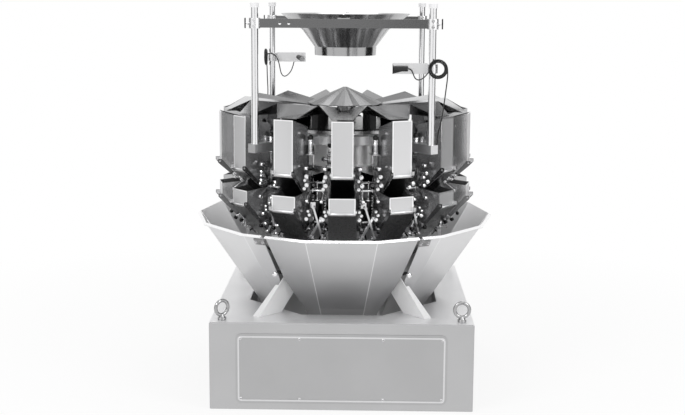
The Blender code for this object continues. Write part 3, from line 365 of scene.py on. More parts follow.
def laid(item, at, along):
    # Turns the piece's +Z to the direction and moves it to the point
    turn = Vector(along).to_track_quat("Z", "Y").to_matrix().to_4x4()
    item.data.transform(Matrix.Translation(at) @ turn)
    return item


def softRod(start, end, radius, finish, sides=14, rounding=0.0008):
    rod = turnedRod("rod", start, end, radius, sides)
    openEdges(rod, lambda a, b, bend: bend > 60)
    bevelPicked(rounding, 1)
    return softShade(dress(rod, finish), 50)


def softBlock(low, high, finish, rounding=0.0010):
    item = block("block", low, high)
    applied(item, "BEVEL", width=rounding, segments=2)
    return softShade(dress(item, finish), 50)


def hexBolt(at, along, across, finish):
    # Hex head with a chamfer, on a washer, standing on the point
    height = across * 0.62
    head = turnedRod("bolt", (0, 0, 0), (0, 0, height), across / 2, 6)
    openEdges(head, lambda a, b, bend: min(a.z, b.z) > height * 0.9)
    bevelPicked(across * 0.07, 1)
    washer = turnedRod("washer", (0, 0, -sunk), (0, 0, across * 0.12), across * 0.72, 16)
    bolt = joined("bolt", [head, washer])
    return softShade(dress(laid(bolt, at, along), finish), 25)


def domeScrew(at, along, radius, finish):
    # Low round head with a slot across, the slot a thin dark block laid on the head as painted shade
    head = turnedRod("screw", (0, 0, -sunk), (0, 0, radius * 0.5), radius, 20)
    openEdges(head, lambda a, b, bend: bend > 60 and min(a.z, b.z) > radius * 0.3)
    bevelPicked(radius * 0.4, 3)
    # The slot is painted shade: a thin dark block on the head, not a cut
    slotShade = block("slotShade", (-radius * 0.62, -radius * 0.12, radius * 0.5),
                 (radius * 0.62, radius * 0.12, radius * 0.54))
    slotShade.data.materials.append(darkSteel)
    dress(head, finish)
    screw = joined("screw", [head, slotShade])
    return softShade(laid(screw, at, along), 40)


def coilSpring(start, end, radius, wire, turns, finish):
    start, end = Vector(start), Vector(end)
    length = (end - start).length
    curve = bpy.data.curves.new("spring", "CURVE")
    curve.dimensions = "3D"
    curve.bevel_depth = wire
    curve.bevel_resolution = 1
    spline = curve.splines.new("POLY")
    steps = turns * 12
    spline.points.add(steps)
    for index, knot in enumerate(spline.points):
        angle = 2 * math.pi * index / 12
        knot.co = (radius * math.cos(angle), radius * math.sin(angle), length * index / steps, 1)
    item = bpy.data.objects.new("spring", curve)
    bpy.context.scene.collection.objects.link(item)
    pick(item)
    bpy.ops.object.convert(target="MESH")
    item = bpy.context.object
    return softShade(dress(laid(item, start, end - start), finish), 60)


def lever(start, end, facing, width, thick, finish):
    # Flat bar with round ends, from one pin to the next
    start, end, facing = Vector(start), Vector(end), Vector(facing).normalized()
    reach = (end - start).length
    pickNothing()
    bpy.ops.mesh.primitive_circle_add(vertices=20, radius=width / 2, fill_type="NGON")
    item = bpy.context.object
    bpy.ops.object.mode_set(mode="EDIT")
    bpy.ops.mesh.select_mode(type="VERT")
    bpy.ops.mesh.select_all(action="DESELECT")
    bpy.ops.object.mode_set(mode="OBJECT")
    for vertex in item.data.vertices:
        vertex.select = vertex.co.x > 0.0001
    bpy.ops.object.mode_set(mode="EDIT")
    bpy.ops.transform.translate(value=(reach, 0, 0))
    closeEdit()
    applied(item, "SOLIDIFY", thickness=thick, offset=0)
    applied(item, "BEVEL", width=thick * 0.2, segments=1)
    along = (end - start).normalized()
    side = facing.cross(along).normalized()
    turn = Matrix((along, side, along.cross(side))).transposed().to_4x4()
    item.data.transform(Matrix.Translation(start) @ turn)
    return softShade(dress(item, finish), 40)


def ballKnob(at, radius, finish):
    pickNothing()
    bpy.ops.mesh.primitive_uv_sphere_add(segments=16, ring_count=10, radius=radius, location=at)
    ball = named("ball")
    openFaces(ball, lambda c, n: c.z - at[2] < -radius * 0.85)
    bpy.ops.transform.resize(value=(1.1, 1.1, 0.6), center_override=(at[0], at[1], at[2] - radius))
    closeEdit()
    return softShade(dress(ball, finish), 60)


# Base housing, its cover and its lifting eyes

baseSizes = {"height": 0.370, "deckLow": 0.360, "wellReach": 0.420, "beadBack": -0.5481, "beadTop": -0.5500,
             "eyeX": 0.496, "eyeY": 0.500, "ring": 0.030, "bar": 0.0075, "ringZ": 0.4205, "neckLow": 0.0125,
             "neckHigh": 0.0075, "collar": 0.018, "collarTop": 0.382, "turn": math.radians(42)}

base = takeOver("base_housing", "base_housing_skin", (housingSteel, beadPaintedHighlight, deckPaintedLight), 0.00005)
openFaces(base, lambda c, n: c.z > baseSizes["height"] + 0.0006)
bpy.ops.mesh.delete(type="FACE")
bpy.ops.mesh.select_all(action="SELECT")
bpy.ops.mesh.delete_loose()
bpy.ops.mesh.select_all(action="SELECT")
bpy.ops.mesh.fill_holes(sides=0)
closeEdit()
# The deck's edge bevels take the lighter steel as a painted highlight
openEdges(base, lambda a, b, bend: bend > 60 and min(a.z, b.z) > baseSizes["deckLow"]
          and max(abs(a.x), abs(a.y)) < baseSizes["wellReach"] and (a - b).length > 0.1)
bevelPicked(0.0022, 2, 1)
# The deck faces take the lighter steel, painted light on top of the base
paintFaces(base, 2, lambda c, n: n.z > 0.9 and c.z > baseSizes["deckLow"])
softShade(base, 40)
carried(base, "frame")

cover = takeOver("front_cover", "front_cover_skin", (coverSteel, beadPaintedHighlight))
# The bead round the cover takes the lighter steel as a painted highlight
paintFaces(cover, 1, lambda c, n: c.y < baseSizes["beadBack"] and n.y > -0.9 or c.y < baseSizes["beadTop"])
softShade(cover, 30)
carried(cover, "frame")


def eyeBolt(name, x, y, turn):
    # Ring, neck and collar of one lifting eye, in its own steel
    s = baseSizes
    across = Vector((math.cos(turn), math.sin(turn), 0))
    ring = ringOf(name, (x, y, s["ringZ"]), across.cross(Vector((0, 0, 1))), s["ring"], s["bar"], 48, 16)
    neck = turnedRod("neck", (x, y, s["collarTop"] - 0.001), (x, y, s["ringZ"] - s["ring"] + 0.003),
                     s["neckLow"], 24, s["neckHigh"])
    collar = turnedRod("collar", (x, y, s["height"] + 0.0001), (x, y, s["collarTop"]), s["collar"], 32)
    openEdges(collar, lambda a, b, bend: bend > 60)
    bevelPicked(0.0022, 3)
    openFaces(collar, lambda c, n: n.z > 0.99)
    bpy.ops.mesh.inset(thickness=0.0035)
    closeEdit()
    eye = joined(name, [ring, neck, collar])
    dress(eye, eyeSteel)
    softShade(eye, 50)
    return carried(eye, "frame")


for sideX in (-1, 1):
    for sideY in (-1, 1):
        label = "eye_%s_%s" % ("front" if sideY < 0 else "back", "left" if sideX < 0 else "right")
        eyeTurn = baseSizes["turn"] if sideX < 0 else 0
        eyeBolt(label, sideX * baseSizes["eyeX"], sideY * baseSizes["eyeY"], eyeTurn)


coverScrews = {"x": (0.172, 0.415), "z": (0.048, 0.303), "face": -0.5478, "radius": 0.0062}
sideScrews = {"y": (-0.480, -0.160, 0.160, 0.480), "z": (0.084, 0.330), "face": 0.5450, "radius": 0.0062}


def baseScrews():
    parts = []
    for side in (-1, 1):
        for x in coverScrews["x"]:
            for z in coverScrews["z"]:
                parts.append(domeScrew((side * x, coverScrews["face"], z), (0, -1, 0), coverScrews["radius"],
                                       boltSteel))
                parts.append(domeScrew((side * x, sideScrews["face"], z), (0, 1, 0), sideScrews["radius"],
                                       boltSteel))
        for y in sideScrews["y"]:
            for z in sideScrews["z"]:
                parts.append(domeScrew((side * sideScrews["face"], y, z), (side, 0, 0), sideScrews["radius"],
                                       boltSteel))
    return joined("base_screws", parts)


carried(baseScrews(), "frame")
print("base dressed")


# Chutes

chuteNames = ("chute_front", "chute_front_right", "chute_back_right", "chute_back", "chute_back_left",
              "chute_front_left")
chuteSizes = {"rim": 0.650, "rimZ": 0.735, "slope": 0.681, "lipLow": 0.7262}

for chuteName in chuteNames:
    plain = chuteSteel if chuteName in ("chute_front", "chute_back") else sideChuteSteel
    chute = takeOver(chuteName, chuteName + "_skin", (plain, creasePaintedHighlight, lipPaintedHighlight))
    # The creases are bevelled and the bevels take the painted highlight
    openEdges(chute, lambda a, b, bend: 5 < bend < 75 and (a - b).length > 0.05
              and abs(a.z - b.z) > 0.03)
    bevelPicked(0.0016, 1, 1)
    # The lip at the top of each chute takes the painted highlight
    paintFaces(chute, 2, lambda c, n: c.z > chuteSizes["lipLow"])
    softShade(chute, 24)
    carried(chute, "frame")


latchSizes = {"z": 0.705, "width": 0.050, "height": 0.032, "thick": 0.003, "offset": math.radians(2.6),
              "stand": 0.0040, "bolt": 0.010, "boltX": (-0.017, 0.015)}


def latchPlates():
    # Plates bolted to the side chutes that lap over the gaps to their neighbours
    s = latchSizes
    slope = math.atan(chuteSizes["slope"])
    rim = chuteSizes["rim"] - (chuteSizes["rimZ"] - s["z"]) * chuteSizes["slope"]
    radius = rim * math.cos(headPitch / 2)
    parts = []
    for gap in range(6):
        angle = math.radians(30 + 60 * gap)
        shift = s["offset"] if math.sin(angle) > 0 else -s["offset"]
        plate = softBlock((-s["width"] / 2, -s["thick"], -s["height"] / 2),
                          (s["width"] / 2, 0, s["height"] / 2), latchSteel, 0.0012)
        bolts = [hexBolt((x, -s["thick"], 0), (0, -1, 0), s["bolt"], boltSteel) for x in s["boltX"]]
        latch = joined("latch", [plate] + bolts)
        facet = headPitch * round(angle / headPitch)
        across = radius * math.tan(angle + shift - facet)
        place = Matrix.Translation((across, -radius - s["stand"], s["z"]))
        latch.data.transform(Matrix.Rotation(facet, 4, "Z") @ place @ Matrix.Rotation(slope, 4, "X"))
        parts.append(latch)
    return joined("chute_latches", parts)


carried(latchPlates(), "frame")


knobSizes = {"start": 0.530, "end": 0.549, "tip": 0.012, "z": 0.560, "stem": 0.0045, "head": 0.0110}


def barKnobs():
    # Clamp knobs on the bars that hold the chutes' edges
    s = knobSizes
    parts = []
    for degrees in (-150, -30, 30, 150):
        angle = math.radians(degrees)
        start, end = outward(angle, s["start"], s["z"]), outward(angle, s["end"], s["z"])
        tip = outward(angle, s["end"] + s["tip"], s["z"])
        parts.append(softRod(start, end, s["stem"], chrome, 14))
        parts.append(softRod(end, tip, s["head"], chrome, 22, 0.003))
    return joined("chute_bar_knobs", parts)


carried(barKnobs(), "frame")
print("chutes dressed")


# Legs, ring plate

legSizes = {"top": 0.552}


def outerFace(c, n):
    return n.xy.length > 0.2 and n.dot(Vector((c.x, c.y, 0)).normalized()) > 0.45


legs = takeOver("support_frame", "support_frame_skin", (legSteel, legEdgePaintedHighlight, darkSteel))
paintFaces(legs, 2, lambda c, n: c.z > legSizes["top"])
# The outer faces of the legs take the painted highlight
paintFaces(legs, 1, lambda c, n: c.z < legSizes["top"] and outerFace(c, n))
softShade(legs, 30)
carried(legs, "frame")


# Central body

bodySizes = {"drumReach": 0.175, "drumLow": 0.970, "drumHigh": 1.120, "driveReach": 0.212, "driveLow": 0.700,
             "driveHigh": 0.960}

body = takeOver("central_body", "central_body_skin", (bodySteel, drumBrushedPaintedSheen, driveSteel))
# The drum's faces take the near-white steel, a painted reflection
paintFaces(body, 1, lambda c, n: bodySizes["drumLow"] < c.z < bodySizes["drumHigh"]
           and c.xy.length < bodySizes["drumReach"])
paintFaces(body, 2, lambda c, n: bodySizes["driveLow"] < c.z < bodySizes["driveHigh"]
           and c.xy.length > bodySizes["driveReach"])
softShade(body, 30)
carried(body, "frame")


# Heads: hoppers and gates, dressed once at the front and turned to the other places

hopperSizes = {"hangerFront": -0.3995, "insideFront": -0.5528, "foldY": -0.5535, "edgeY": -0.5538,
               "plateY": -0.5545, "foldX": 0.040}


def hopperFolds(a, b, bend):
    # Upright folds at the front plate's sides
    return (bend > 60 and max(a.y, b.y) < hopperSizes["foldY"]
            and min(abs(a.x), abs(b.x)) > hopperSizes["foldX"] and abs(a.z - b.z) > 0.05)


hopperStart = takeOver("hoppers_01", "hoppers_01_skin", (hopperPlate, foldHighlightAndPinSteel, hopperInside, bodySteel))
paintFaces(hopperStart, 2, lambda c, n: hopperSizes["insideFront"] < c.y < hopperSizes["hangerFront"])
paintFaces(hopperStart, 3, lambda c, n: c.y > hopperSizes["hangerFront"])
# An inset border round the front plate takes the painted highlight along its edges
openFaces(hopperStart, lambda c, n: c.y < hopperSizes["plateY"] and n.y < -0.99 and abs(c.x) < 0.01)
bpy.ops.mesh.inset(thickness=0.0042, depth=-0.0006)
closeEdit()
for face in hopperStart.data.polygons:
    if face.normal.y < -0.5 and face.center.y < hopperSizes["edgeY"] and not face.select:
        face.material_index = 1
# The folds' bevels take the painted highlight as well
openEdges(hopperStart, hopperFolds)
bevelPicked(0.0012, 2, 1)
softShade(hopperStart, 30)
for head in range(1, 15):
    label = "hoppers_%02d" % head
    if head == 1:
        hopper = hopperStart
    else:
        hopper = copied(hopperStart, label + "_skin", Matrix.Rotation((head - 1) * headPitch, 4, "Z"))
        hopper["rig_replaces"] = []
        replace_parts(hopper, label)
    carried(hopper, "frame")


def gateSkin(kind, finish):
    start = takeOver(kind + "_01", kind + "_01_skin", (finish, gateEdgePaintedHighlight))
    # The gates' edge bevels and side edges take the painted highlight
    openEdges(start, lambda a, b, bend: bend > 60 and (a - b).length > 0.08 and max(a.y, b.y) < -0.3)
    bevelPicked(0.0008, 1, 1)
    half = max(abs(v.co.x) for v in start.data.vertices)
    paintFaces(start, 1, lambda c, n: abs(c.x) > half - 0.0030 and abs(n.x) < 0.5)
    softShade(start, 30)
    for head in range(1, 15):
        label = "%s_%02d" % (kind, head)
        if head == 1:
            gate = start
        else:
            gate = copied(start, label + "_skin", Matrix.Rotation((head - 1) * headPitch, 4, "Z"))
            gate["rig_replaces"] = []
            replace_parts(gate, label)
        carried(gate, label)


gateSkin("feed_gate", feedGateSteel)
gateSkin("weigh_gate", weighGateSteel)
print("heads dressed")


# Linkages between the heads, modelled once for the front and turned to all fourteen gaps

gapSizes = {"front": -0.386, "back": -0.381, "half": 0.048, "low": 0.735, "high": 0.925, "boltX": 0.038,
            "boltZ": (0.755, 0.830, 0.915), "bolt": 0.009}
shaftSizes = {"radius": 0.0045, "armX": 0.021, "armThick": 0.004,
              "upper": {"y": -0.455, "z": 0.905, "reach": 0.038, "armY": -0.463, "armHalf": 0.008},
              "lower": {"y": -0.445, "z": 0.772, "reach": 0.036, "armY": -0.453, "armHalf": 0.007}}


def gapPlate():
    # Bolted plate at the back of the gap, which carries the shafts
    s = gapSizes
    parts = [softBlock((-s["half"], s["front"], s["low"]), (s["half"], s["back"], s["high"]), driveSteel)]
    for z in s["boltZ"]:
        for x in (-s["boltX"], s["boltX"]):
            parts.append(hexBolt((x, s["front"], z), (0, -1, 0), s["bolt"], boltSteel))
    return parts


def crossShafts():
    # Two shafts across the gap, each on two arms
    s, half = shaftSizes, shaftSizes["armThick"] / 2
    parts = []
    for x in (-s["armX"], s["armX"]):
        for level, finish in (("upper", bodyBright), ("lower", darkSteel)):
            arm = s[level]
            parts.append(softBlock((x - half, arm["armY"], arm["z"] - arm["armHalf"]),
                                   (x + half, gapSizes["front"], arm["z"] + arm["armHalf"]), finish))
    for level in ("upper", "lower"):
        y, z, reach = s[level]["y"], s[level]["z"], s[level]["reach"]
        parts.append(softRod((-reach, y, z), (reach, y, z), s["radius"], chrome))
    return parts


# The levers' pins and ends are given as (y, z)
leverSizes = {"x": 0.031, "upperPin": (-0.455, 0.905), "down": (-0.512, 0.868), "up": (-0.482, 0.958),
              "lowerPin": (-0.445, 0.772), "lowerEnd": (-0.505, 0.742), "pinShare": 0.9, "endShare": 1.15,
              "downWidth": 0.015, "upWidth": 0.012, "lowerWidth": 0.014, "thick": 0.004, "rollerHalf": 0.006,
              "upperRoller": 0.0085, "lowerRoller": 0.008, "bolt": 0.010, "boltShift": 0.002}
damperSizes = {"x": 0.013, "y": -0.418, "low": 0.800, "high": 0.856, "collarHigh": 0.862, "stemHigh": 0.940,
               "nutZ": 0.932, "radius": 0.0105, "collar": 0.0115, "stem": 0.0028, "nut": 0.010}
guideSizes = {"x": 0.026, "y": -0.436, "low": 0.790, "high": 0.884, "spring": 0.0058, "wire": 0.0011,
              "turns": 8, "rodLow": 0.700, "rod": 0.0030, "footHalf": 0.007, "footFront": -0.446,
              "footBack": -0.428, "footLow": 0.694, "footHigh": 0.704}


def shaftLevers(side):
    # Levers on both shafts with a roller at each end
    s = leverSizes
    x, half = side * s["x"], s["rollerHalf"]
    pinX, endX = x * s["pinShare"], x * s["endShare"]
    return [lever((x, *s["upperPin"]), (x, *s["down"]), (1, 0, 0), s["downWidth"], s["thick"], bodyBright),
            lever((x, *s["upperPin"]), (x, *s["up"]), (1, 0, 0), s["upWidth"], s["thick"], driveSteel),
            softRod((x - half, *s["down"]), (x + half, *s["down"]), s["upperRoller"], chrome, 18),
            hexBolt((x + side * s["boltShift"], *s["up"]), (side, 0, 0), s["bolt"], boltSteel),
            lever((pinX, *s["lowerPin"]), (endX, *s["lowerEnd"]), (1, 0, 0), s["lowerWidth"], s["thick"],
                  bodyBright),
            softRod((endX - half, *s["lowerEnd"]), (endX + half, *s["lowerEnd"]), s["lowerRoller"],
                    darkSteel, 18)]


def damper(side):
    # Dark cylinder with its collar, stem and nut
    s = damperSizes
    x, y = side * s["x"], s["y"]
    return [softRod((x, y, s["low"]), (x, y, s["high"]), s["radius"], darkSteel, 18),
            softRod((x, y, s["high"]), (x, y, s["collarHigh"]), s["collar"], chrome, 18),
            softRod((x, y, s["collarHigh"]), (x, y, s["stemHigh"]), s["stem"], chrome, 10),
            hexBolt((x, y, s["nutZ"]), (0, 0, 1), s["nut"], chrome)]


def springGuide(side):
    # Upright spring over its rod and foot
    s = guideSizes
    x, y = side * s["x"], s["y"]
    return [coilSpring((x, y, s["low"]), (x, y, s["high"]), s["spring"], s["wire"], s["turns"], springSteel),
            softRod((x, y, s["rodLow"]), (x, y, s["low"]), s["rod"], chrome, 10),
            softBlock((x - s["footHalf"], s["footFront"], s["footLow"]),
                      (x + s["footHalf"], s["footBack"], s["footHigh"]), boltSteel)]


# Two bars that cross, their ends as (x, z), and two tabs on stalks
crossSizes = {"frontEnds": ((-0.024, 0.716), (0.020, 0.794)), "frontY": -0.474, "frontWidth": 0.011,
              "outerEnds": ((0.026, 0.712), (-0.012, 0.836)), "outerY": -0.480, "outerWidth": 0.009,
              "thick": 0.003, "pinFront": -0.4815, "pinBack": -0.440, "pin": 0.0028, "bolt": 0.009}
tabSizes = {"stalk": 0.0035,
            "lowCorners": ((-0.017, -0.462, 0.668), (0.019, -0.458, 0.700)),
            "lowStalk": ((0.001, -0.458, 0.684), (0.001, -0.386, 0.730)),
            "highCorners": ((-0.030, -0.470, 0.833), (-0.006, -0.4665, 0.858)),
            "highStalk": ((-0.018, -0.468, 0.846), (-0.018, -0.386, 0.846))}


def crossBars():
    s = crossSizes
    parts = []
    for row, finish in (("front", chrome), ("outer", bodyBright)):
        (startX, startZ), (endX, endZ) = s[row + "Ends"]
        y = s[row + "Y"]
        parts.append(lever((startX, y, startZ), (endX, y, endZ), (0, 1, 0), s[row + "Width"], s["thick"],
                           finish))
    for x, z in s["frontEnds"] + s["outerEnds"]:
        parts.append(hexBolt((x, s["pinFront"], z), (0, -1, 0), s["bolt"], boltSteel))
        parts.append(softRod((x, s["pinFront"], z), (x, s["pinBack"], z), s["pin"], chrome, 8))
    return parts


def stalkTabs():
    s = tabSizes
    parts = []
    for row, finish in (("low", hopperPlate), ("high", boltSteel)):
        parts.append(softBlock(*s[row + "Corners"], finish))
        parts.append(softRod(*s[row + "Stalk"], s["stalk"], darkSteel, 10))
    return parts


# Plates beside each hopper's foot; a pin is its shift along x, its height, the radius it reaches and its own
pinPlates = {"nutShare": 2.3,
             "upper": {"x": 0.040, "minus": 0.012, "plus": 0.011, "front": -0.4600, "back": -0.4560,
                       "low": 0.898, "high": 0.986, "foot": -0.458,
                       "pins": ((-0.006, 0.918, 0.500, 0.0042), (0.006, 0.934, 0.508, 0.0052),
                                (-0.005, 0.951, 0.496, 0.0036), (0.004, 0.969, 0.504, 0.0050))},
             "lower": {"x": 0.035, "minus": 0.011, "plus": 0.010, "front": -0.4520, "back": -0.4480,
                       "low": 0.736, "high": 0.826, "foot": -0.450,
                       "pins": ((0.005, 0.748, 0.486, 0.0040), (-0.005, 0.790, 0.490, 0.0046),
                                (0.005, 0.806, 0.482, 0.0038), (-0.002, 0.820, 0.476, 0.0034))}}
returnSizes = {"shift": 0.006, "z": 0.951, "back": -0.462, "front": -0.490, "spring": 0.0062, "wire": 0.0011,
               "turns": 5, "pin": (-0.458, 0.980), "end": (-0.492, 1.000), "width": 0.012, "thick": 0.004,
               "roller": 0.0085, "rollerHalf": 0.007}


def pinPlate(level, side, finishes):
    s = pinPlates[level]
    x = side * s["x"]
    parts = [softBlock((x - s["minus"], s["front"], s["low"]),
                       (x + s["plus"], s["back"], s["high"]), driveSteel)]
    for place, (shift, z, reach, radius) in enumerate(s["pins"]):
        end = (x + shift, -reach, z)
        parts.append(softRod((x + shift, s["foot"], z), end, radius, finishes[place % 2]))
        parts.append(hexBolt(end, (0, -1, 0), radius * pinPlates["nutShare"], chrome))
    return parts


def returnLever(side):
    # Spring, lever and roller at the top of the upper plate
    s = returnSizes
    x = side * pinPlates["upper"]["x"]
    springX, half = x - s["shift"], s["rollerHalf"]
    return [coilSpring((springX, s["back"], s["z"]), (springX, s["front"], s["z"]), s["spring"], s["wire"],
                       s["turns"], springSteel),
            lever((x, *s["pin"]), (x, *s["end"]), (1, 0, 0), s["width"], s["thick"], bodyBright),
            softRod((x - half, *s["end"]), (x + half, *s["end"]), s["roller"], chrome, 20)]


shelfSizes = {"half": 0.0445, "front": -0.428, "low": 0.9310, "high": 0.9345}
pullSizes = {"x": 0.036, "y": -0.440, "plateHalf": 0.0165, "plateFront": -0.455, "plateBack": -0.392,
             "plateLow": 1.050, "plateThick": 0.0035, "nutTop": 0.010, "stemTop": 0.052, "headTop": 0.060,
             "ballZ": 0.068, "nut": 0.0125, "stem": 0.0100, "head": 0.0120, "ball": 0.0115,
             "springLow": 0.012, "springHigh": 0.036, "spring": 0.0115, "wire": 0.0012, "turns": 5,
             "bossY": -0.412, "bossTop": 0.034, "boss": 0.0080, "bossBolt": 0.013,
             "rodY": -0.398, "rodDrop": 0.060, "rodInto": 0.001, "rod": 0.0040}


def pullPlate(knobSide):
    s = pullSizes
    x, low = knobSide * s["x"], s["plateLow"]
    return softBlock((x - s["plateHalf"], s["plateFront"], low),
                     (x + s["plateHalf"], s["plateBack"], low + s["plateThick"]), bodyBright)


def pullKnob(knobSide):
    # Sprung knob with a black ball, a boss behind it and a rod under the plate
    s = pullSizes
    x, y, foot = knobSide * s["x"], s["y"], s["plateLow"] + s["plateThick"]
    return [softRod((x, y, foot), (x, y, foot + s["nutTop"]), s["nut"], boltSteel, 20),
            softRod((x, y, foot + s["nutTop"]), (x, y, foot + s["stemTop"]), s["stem"], chrome, 20),
            coilSpring((x, y, foot + s["springLow"]), (x, y, foot + s["springHigh"]), s["spring"], s["wire"],
                       s["turns"], springSteel),
            softRod((x, y, foot + s["stemTop"]), (x, y, foot + s["headTop"]), s["head"], chrome, 20),
            ballKnob((x, y, foot + s["ballZ"]), s["ball"], blackPlastic),
            softRod((x, s["bossY"], foot), (x, s["bossY"], foot + s["bossTop"]), s["boss"], darkSteel, 18),
            hexBolt((x, s["bossY"], foot + s["bossTop"]), (0, 0, 1), s["bossBolt"], chrome),
            softRod((x, s["rodY"], s["plateLow"] - s["rodDrop"]),
                    (x, s["rodY"], s["plateLow"] + s["rodInto"]), s["rod"], chrome, 12)]


def gapLinkage(knobSide):
    # One gap's linkage, with its pull knob on the given side
    parts = gapPlate() + crossShafts()
    for side in (-1, 1):
        parts += shaftLevers(side) + damper(side) + springGuide(side)
    parts += crossBars() + stalkTabs()
    shelf = shelfSizes
    parts.append(softBlock((-shelf["half"], shelf["front"], shelf["low"]),
                           (shelf["half"], gapSizes["front"], shelf["high"]), bodyBright))
    parts.append(pullPlate(knobSide))
    for side in (-1, 1):
        parts += pinPlate("upper", side, (chrome, boltSteel)) + returnLever(side)
        parts += pinPlate("lower", side, (boltSteel, chrome))
    parts += pullKnob(knobSide)
    return joined("linkage_01", parts)


linkageStarts = [gapLinkage(-1), gapLinkage(1)]
for gap in range(1, 15):
    linkageStart = linkageStarts[gap < 8]
    turned = Matrix.Rotation((gap - 0.5) * headPitch, 4, "Z")
    linkage = copied(linkageStart, "linkage_between_%02d_%02d" % (gap, gap % 14 + 1), turned)
    carried(linkage, "frame")
for linkageStart in linkageStarts:
    remove(linkageStart)
print("linkages set in all gaps")


# What each head carries on its outside: hinge bars, side bolts, the drive's cranks and the hanger's bolts

trimSizes = {"pinY": -0.5588, "feedReach": 0.0440, "feedZ": 0.9775, "weighReach": 0.0540, "weighZ": 0.8275,
             "pin": 0.0034, "sideX": 0.0445, "sideY": -0.500, "sideZ": (1.145, 1.010), "bolt": 0.009,
             "driveX": 0.038, "driveY": -0.372, "crankZ": 0.905, "crankEnd": 0.048, "crank": 0.012,
             "armX": 0.0495, "armTop": (-0.392, 0.958), "armWidth": 0.011, "armThick": 0.003, "stubZ": 0.790,
             "stubEnd": 0.046, "stub": 0.010, "hangerX": 0.021, "hangerY": -0.396,
             "hangerZ": (0.972, 1.030, 1.105)}


def headTrim():
    s = trimSizes
    y, driveY = s["pinY"], s["driveY"]
    parts = []
    for reach, z in ((s["feedReach"], s["feedZ"]), (s["weighReach"], s["weighZ"])):
        parts.append(softRod((-reach, y, z), (reach, y, z), s["pin"], foldHighlightAndPinSteel, 12))
    for side in (-1, 1):
        inner, armX = side * s["driveX"], side * s["armX"]
        for z in s["sideZ"]:
            parts.append(hexBolt((side * s["sideX"], s["sideY"], z), (side, 0, 0), s["bolt"], boltSteel))
        parts.append(softRod((inner, driveY, s["crankZ"]), (side * s["crankEnd"], driveY, s["crankZ"]),
                             s["crank"], chrome, 20))
        parts.append(lever((armX, driveY, s["crankZ"]), (armX, *s["armTop"]), (1, 0, 0), s["armWidth"],
                           s["armThick"], boltSteel))
        parts.append(softRod((inner, driveY, s["stubZ"]), (side * s["stubEnd"], driveY, s["stubZ"]),
                             s["stub"], chrome, 20))
    for z in s["hangerZ"]:
        for x in (-s["hangerX"], s["hangerX"]):
            parts.append(hexBolt((x, s["hangerY"], z), (0, -1, 0), s["bolt"], boltSteel))
    return joined("head_trim", parts)


trimStart = headTrim()
for head in range(1, 15):
    trim = copied(trimStart, "head_trim_%02d" % head, Matrix.Rotation((head - 1) * headPitch, 4, "Z"))
    carried(trim, "frame")
remove(trimStart)
print("head trims set")


# Pans and cone

panSizes = {"driveReach": 0.32, "driveHigh": 1.204, "edgeStart": 0.125, "edgeLow": 1.21, "ridgeShadeStart": 0.40}

pans = takeOver("feeder_pans", "feeder_pans_skin", (panSteel, panEdgePaintedHighlight, darkSteel, ridgePaintedShade))
# The drives under the pans are painted near black, a painted shade under the pans
paintFaces(pans, 2, lambda c, n: c.xy.length < panSizes["driveReach"] and c.z < panSizes["driveHigh"])
# The pans' edges are bevelled and the bevels take the painted highlight
openEdges(pans, lambda a, b, bend: bend > 20 and (a - b).length > 0.06
          and min(a.xy.length, b.xy.length) > panSizes["edgeStart"] and max(a.z, b.z) > panSizes["edgeLow"])
bevelPicked(0.0009, 1, 1)
# The sloped flanks of the outer ridges are painted dark as painted shade
paintFaces(pans, 3, lambda c, n: c.xy.length > panSizes["ridgeShadeStart"] and 0.15 < abs(n.z) and n.z < 0.93)
softShade(pans, 20)
carried(pans, "frame")

cone = takeOver("top_cone", "top_cone_skin", (coneSteel, panEdgePaintedHighlight))
softShade(cone, 12)
carried(cone, "frame")


# Posts, bars, arms

mastSizes = {"x": 0.3585, "y": 0.4495, "tube": 0.0165, "clamp": 0.0250, "tubeTop": 1.648, "capLow": 1.6485,
             "armTop": 1.10, "clampLow": 1.52, "clampHigh": 1.61}

masts = takeOver("mast_frame", "mast_frame_skin", (barSteel, postSteel, capWhite, armSteel))
postSpots = [(sx * mastSizes["x"], sy * mastSizes["y"]) for sx in (-1, 1) for sy in (-1, 1)]


def nearPost(c, reach):
    return min(math.hypot(c.x - x, c.y - y) for x, y in postSpots) < reach


def onClamp(c):
    return nearPost(c, mastSizes["clamp"]) and not nearPost(c, mastSizes["tube"])


paintFaces(masts, 1, lambda c, n: nearPost(c, mastSizes["tube"]) and c.z < mastSizes["tubeTop"])
paintFaces(masts, 2, lambda c, n: c.z > mastSizes["capLow"])
paintFaces(masts, 3, lambda c, n: c.z < mastSizes["armTop"] and not nearPost(c, mastSizes["tube"]))
paintFaces(masts, 3, lambda c, n: mastSizes["clampLow"] < c.z < mastSizes["clampHigh"] and onClamp(c))
softShade(masts, 30)
carried(masts, "frame")


fittingSizes = {"y": 0.4495, "z": 1.5865, "wingX": 0.3815, "stemIn": 0.004, "stemOut": 0.014,
                "stem": 0.0035, "collarOut": 0.006, "collar": 0.0075, "wingOut": 0.015, "wingHalf": 0.016,
                "wingWidth": 0.010, "wingThick": 0.005, "clampX": 0.3585, "clampShift": 0.0230,
                "clampRise": 0.012, "clampBolt": 0.010, "tabZ": 1.6090, "tabBolt": 0.020, "studLow": 1.6200,
                "studHigh": 1.6260, "stud": 0.0045}


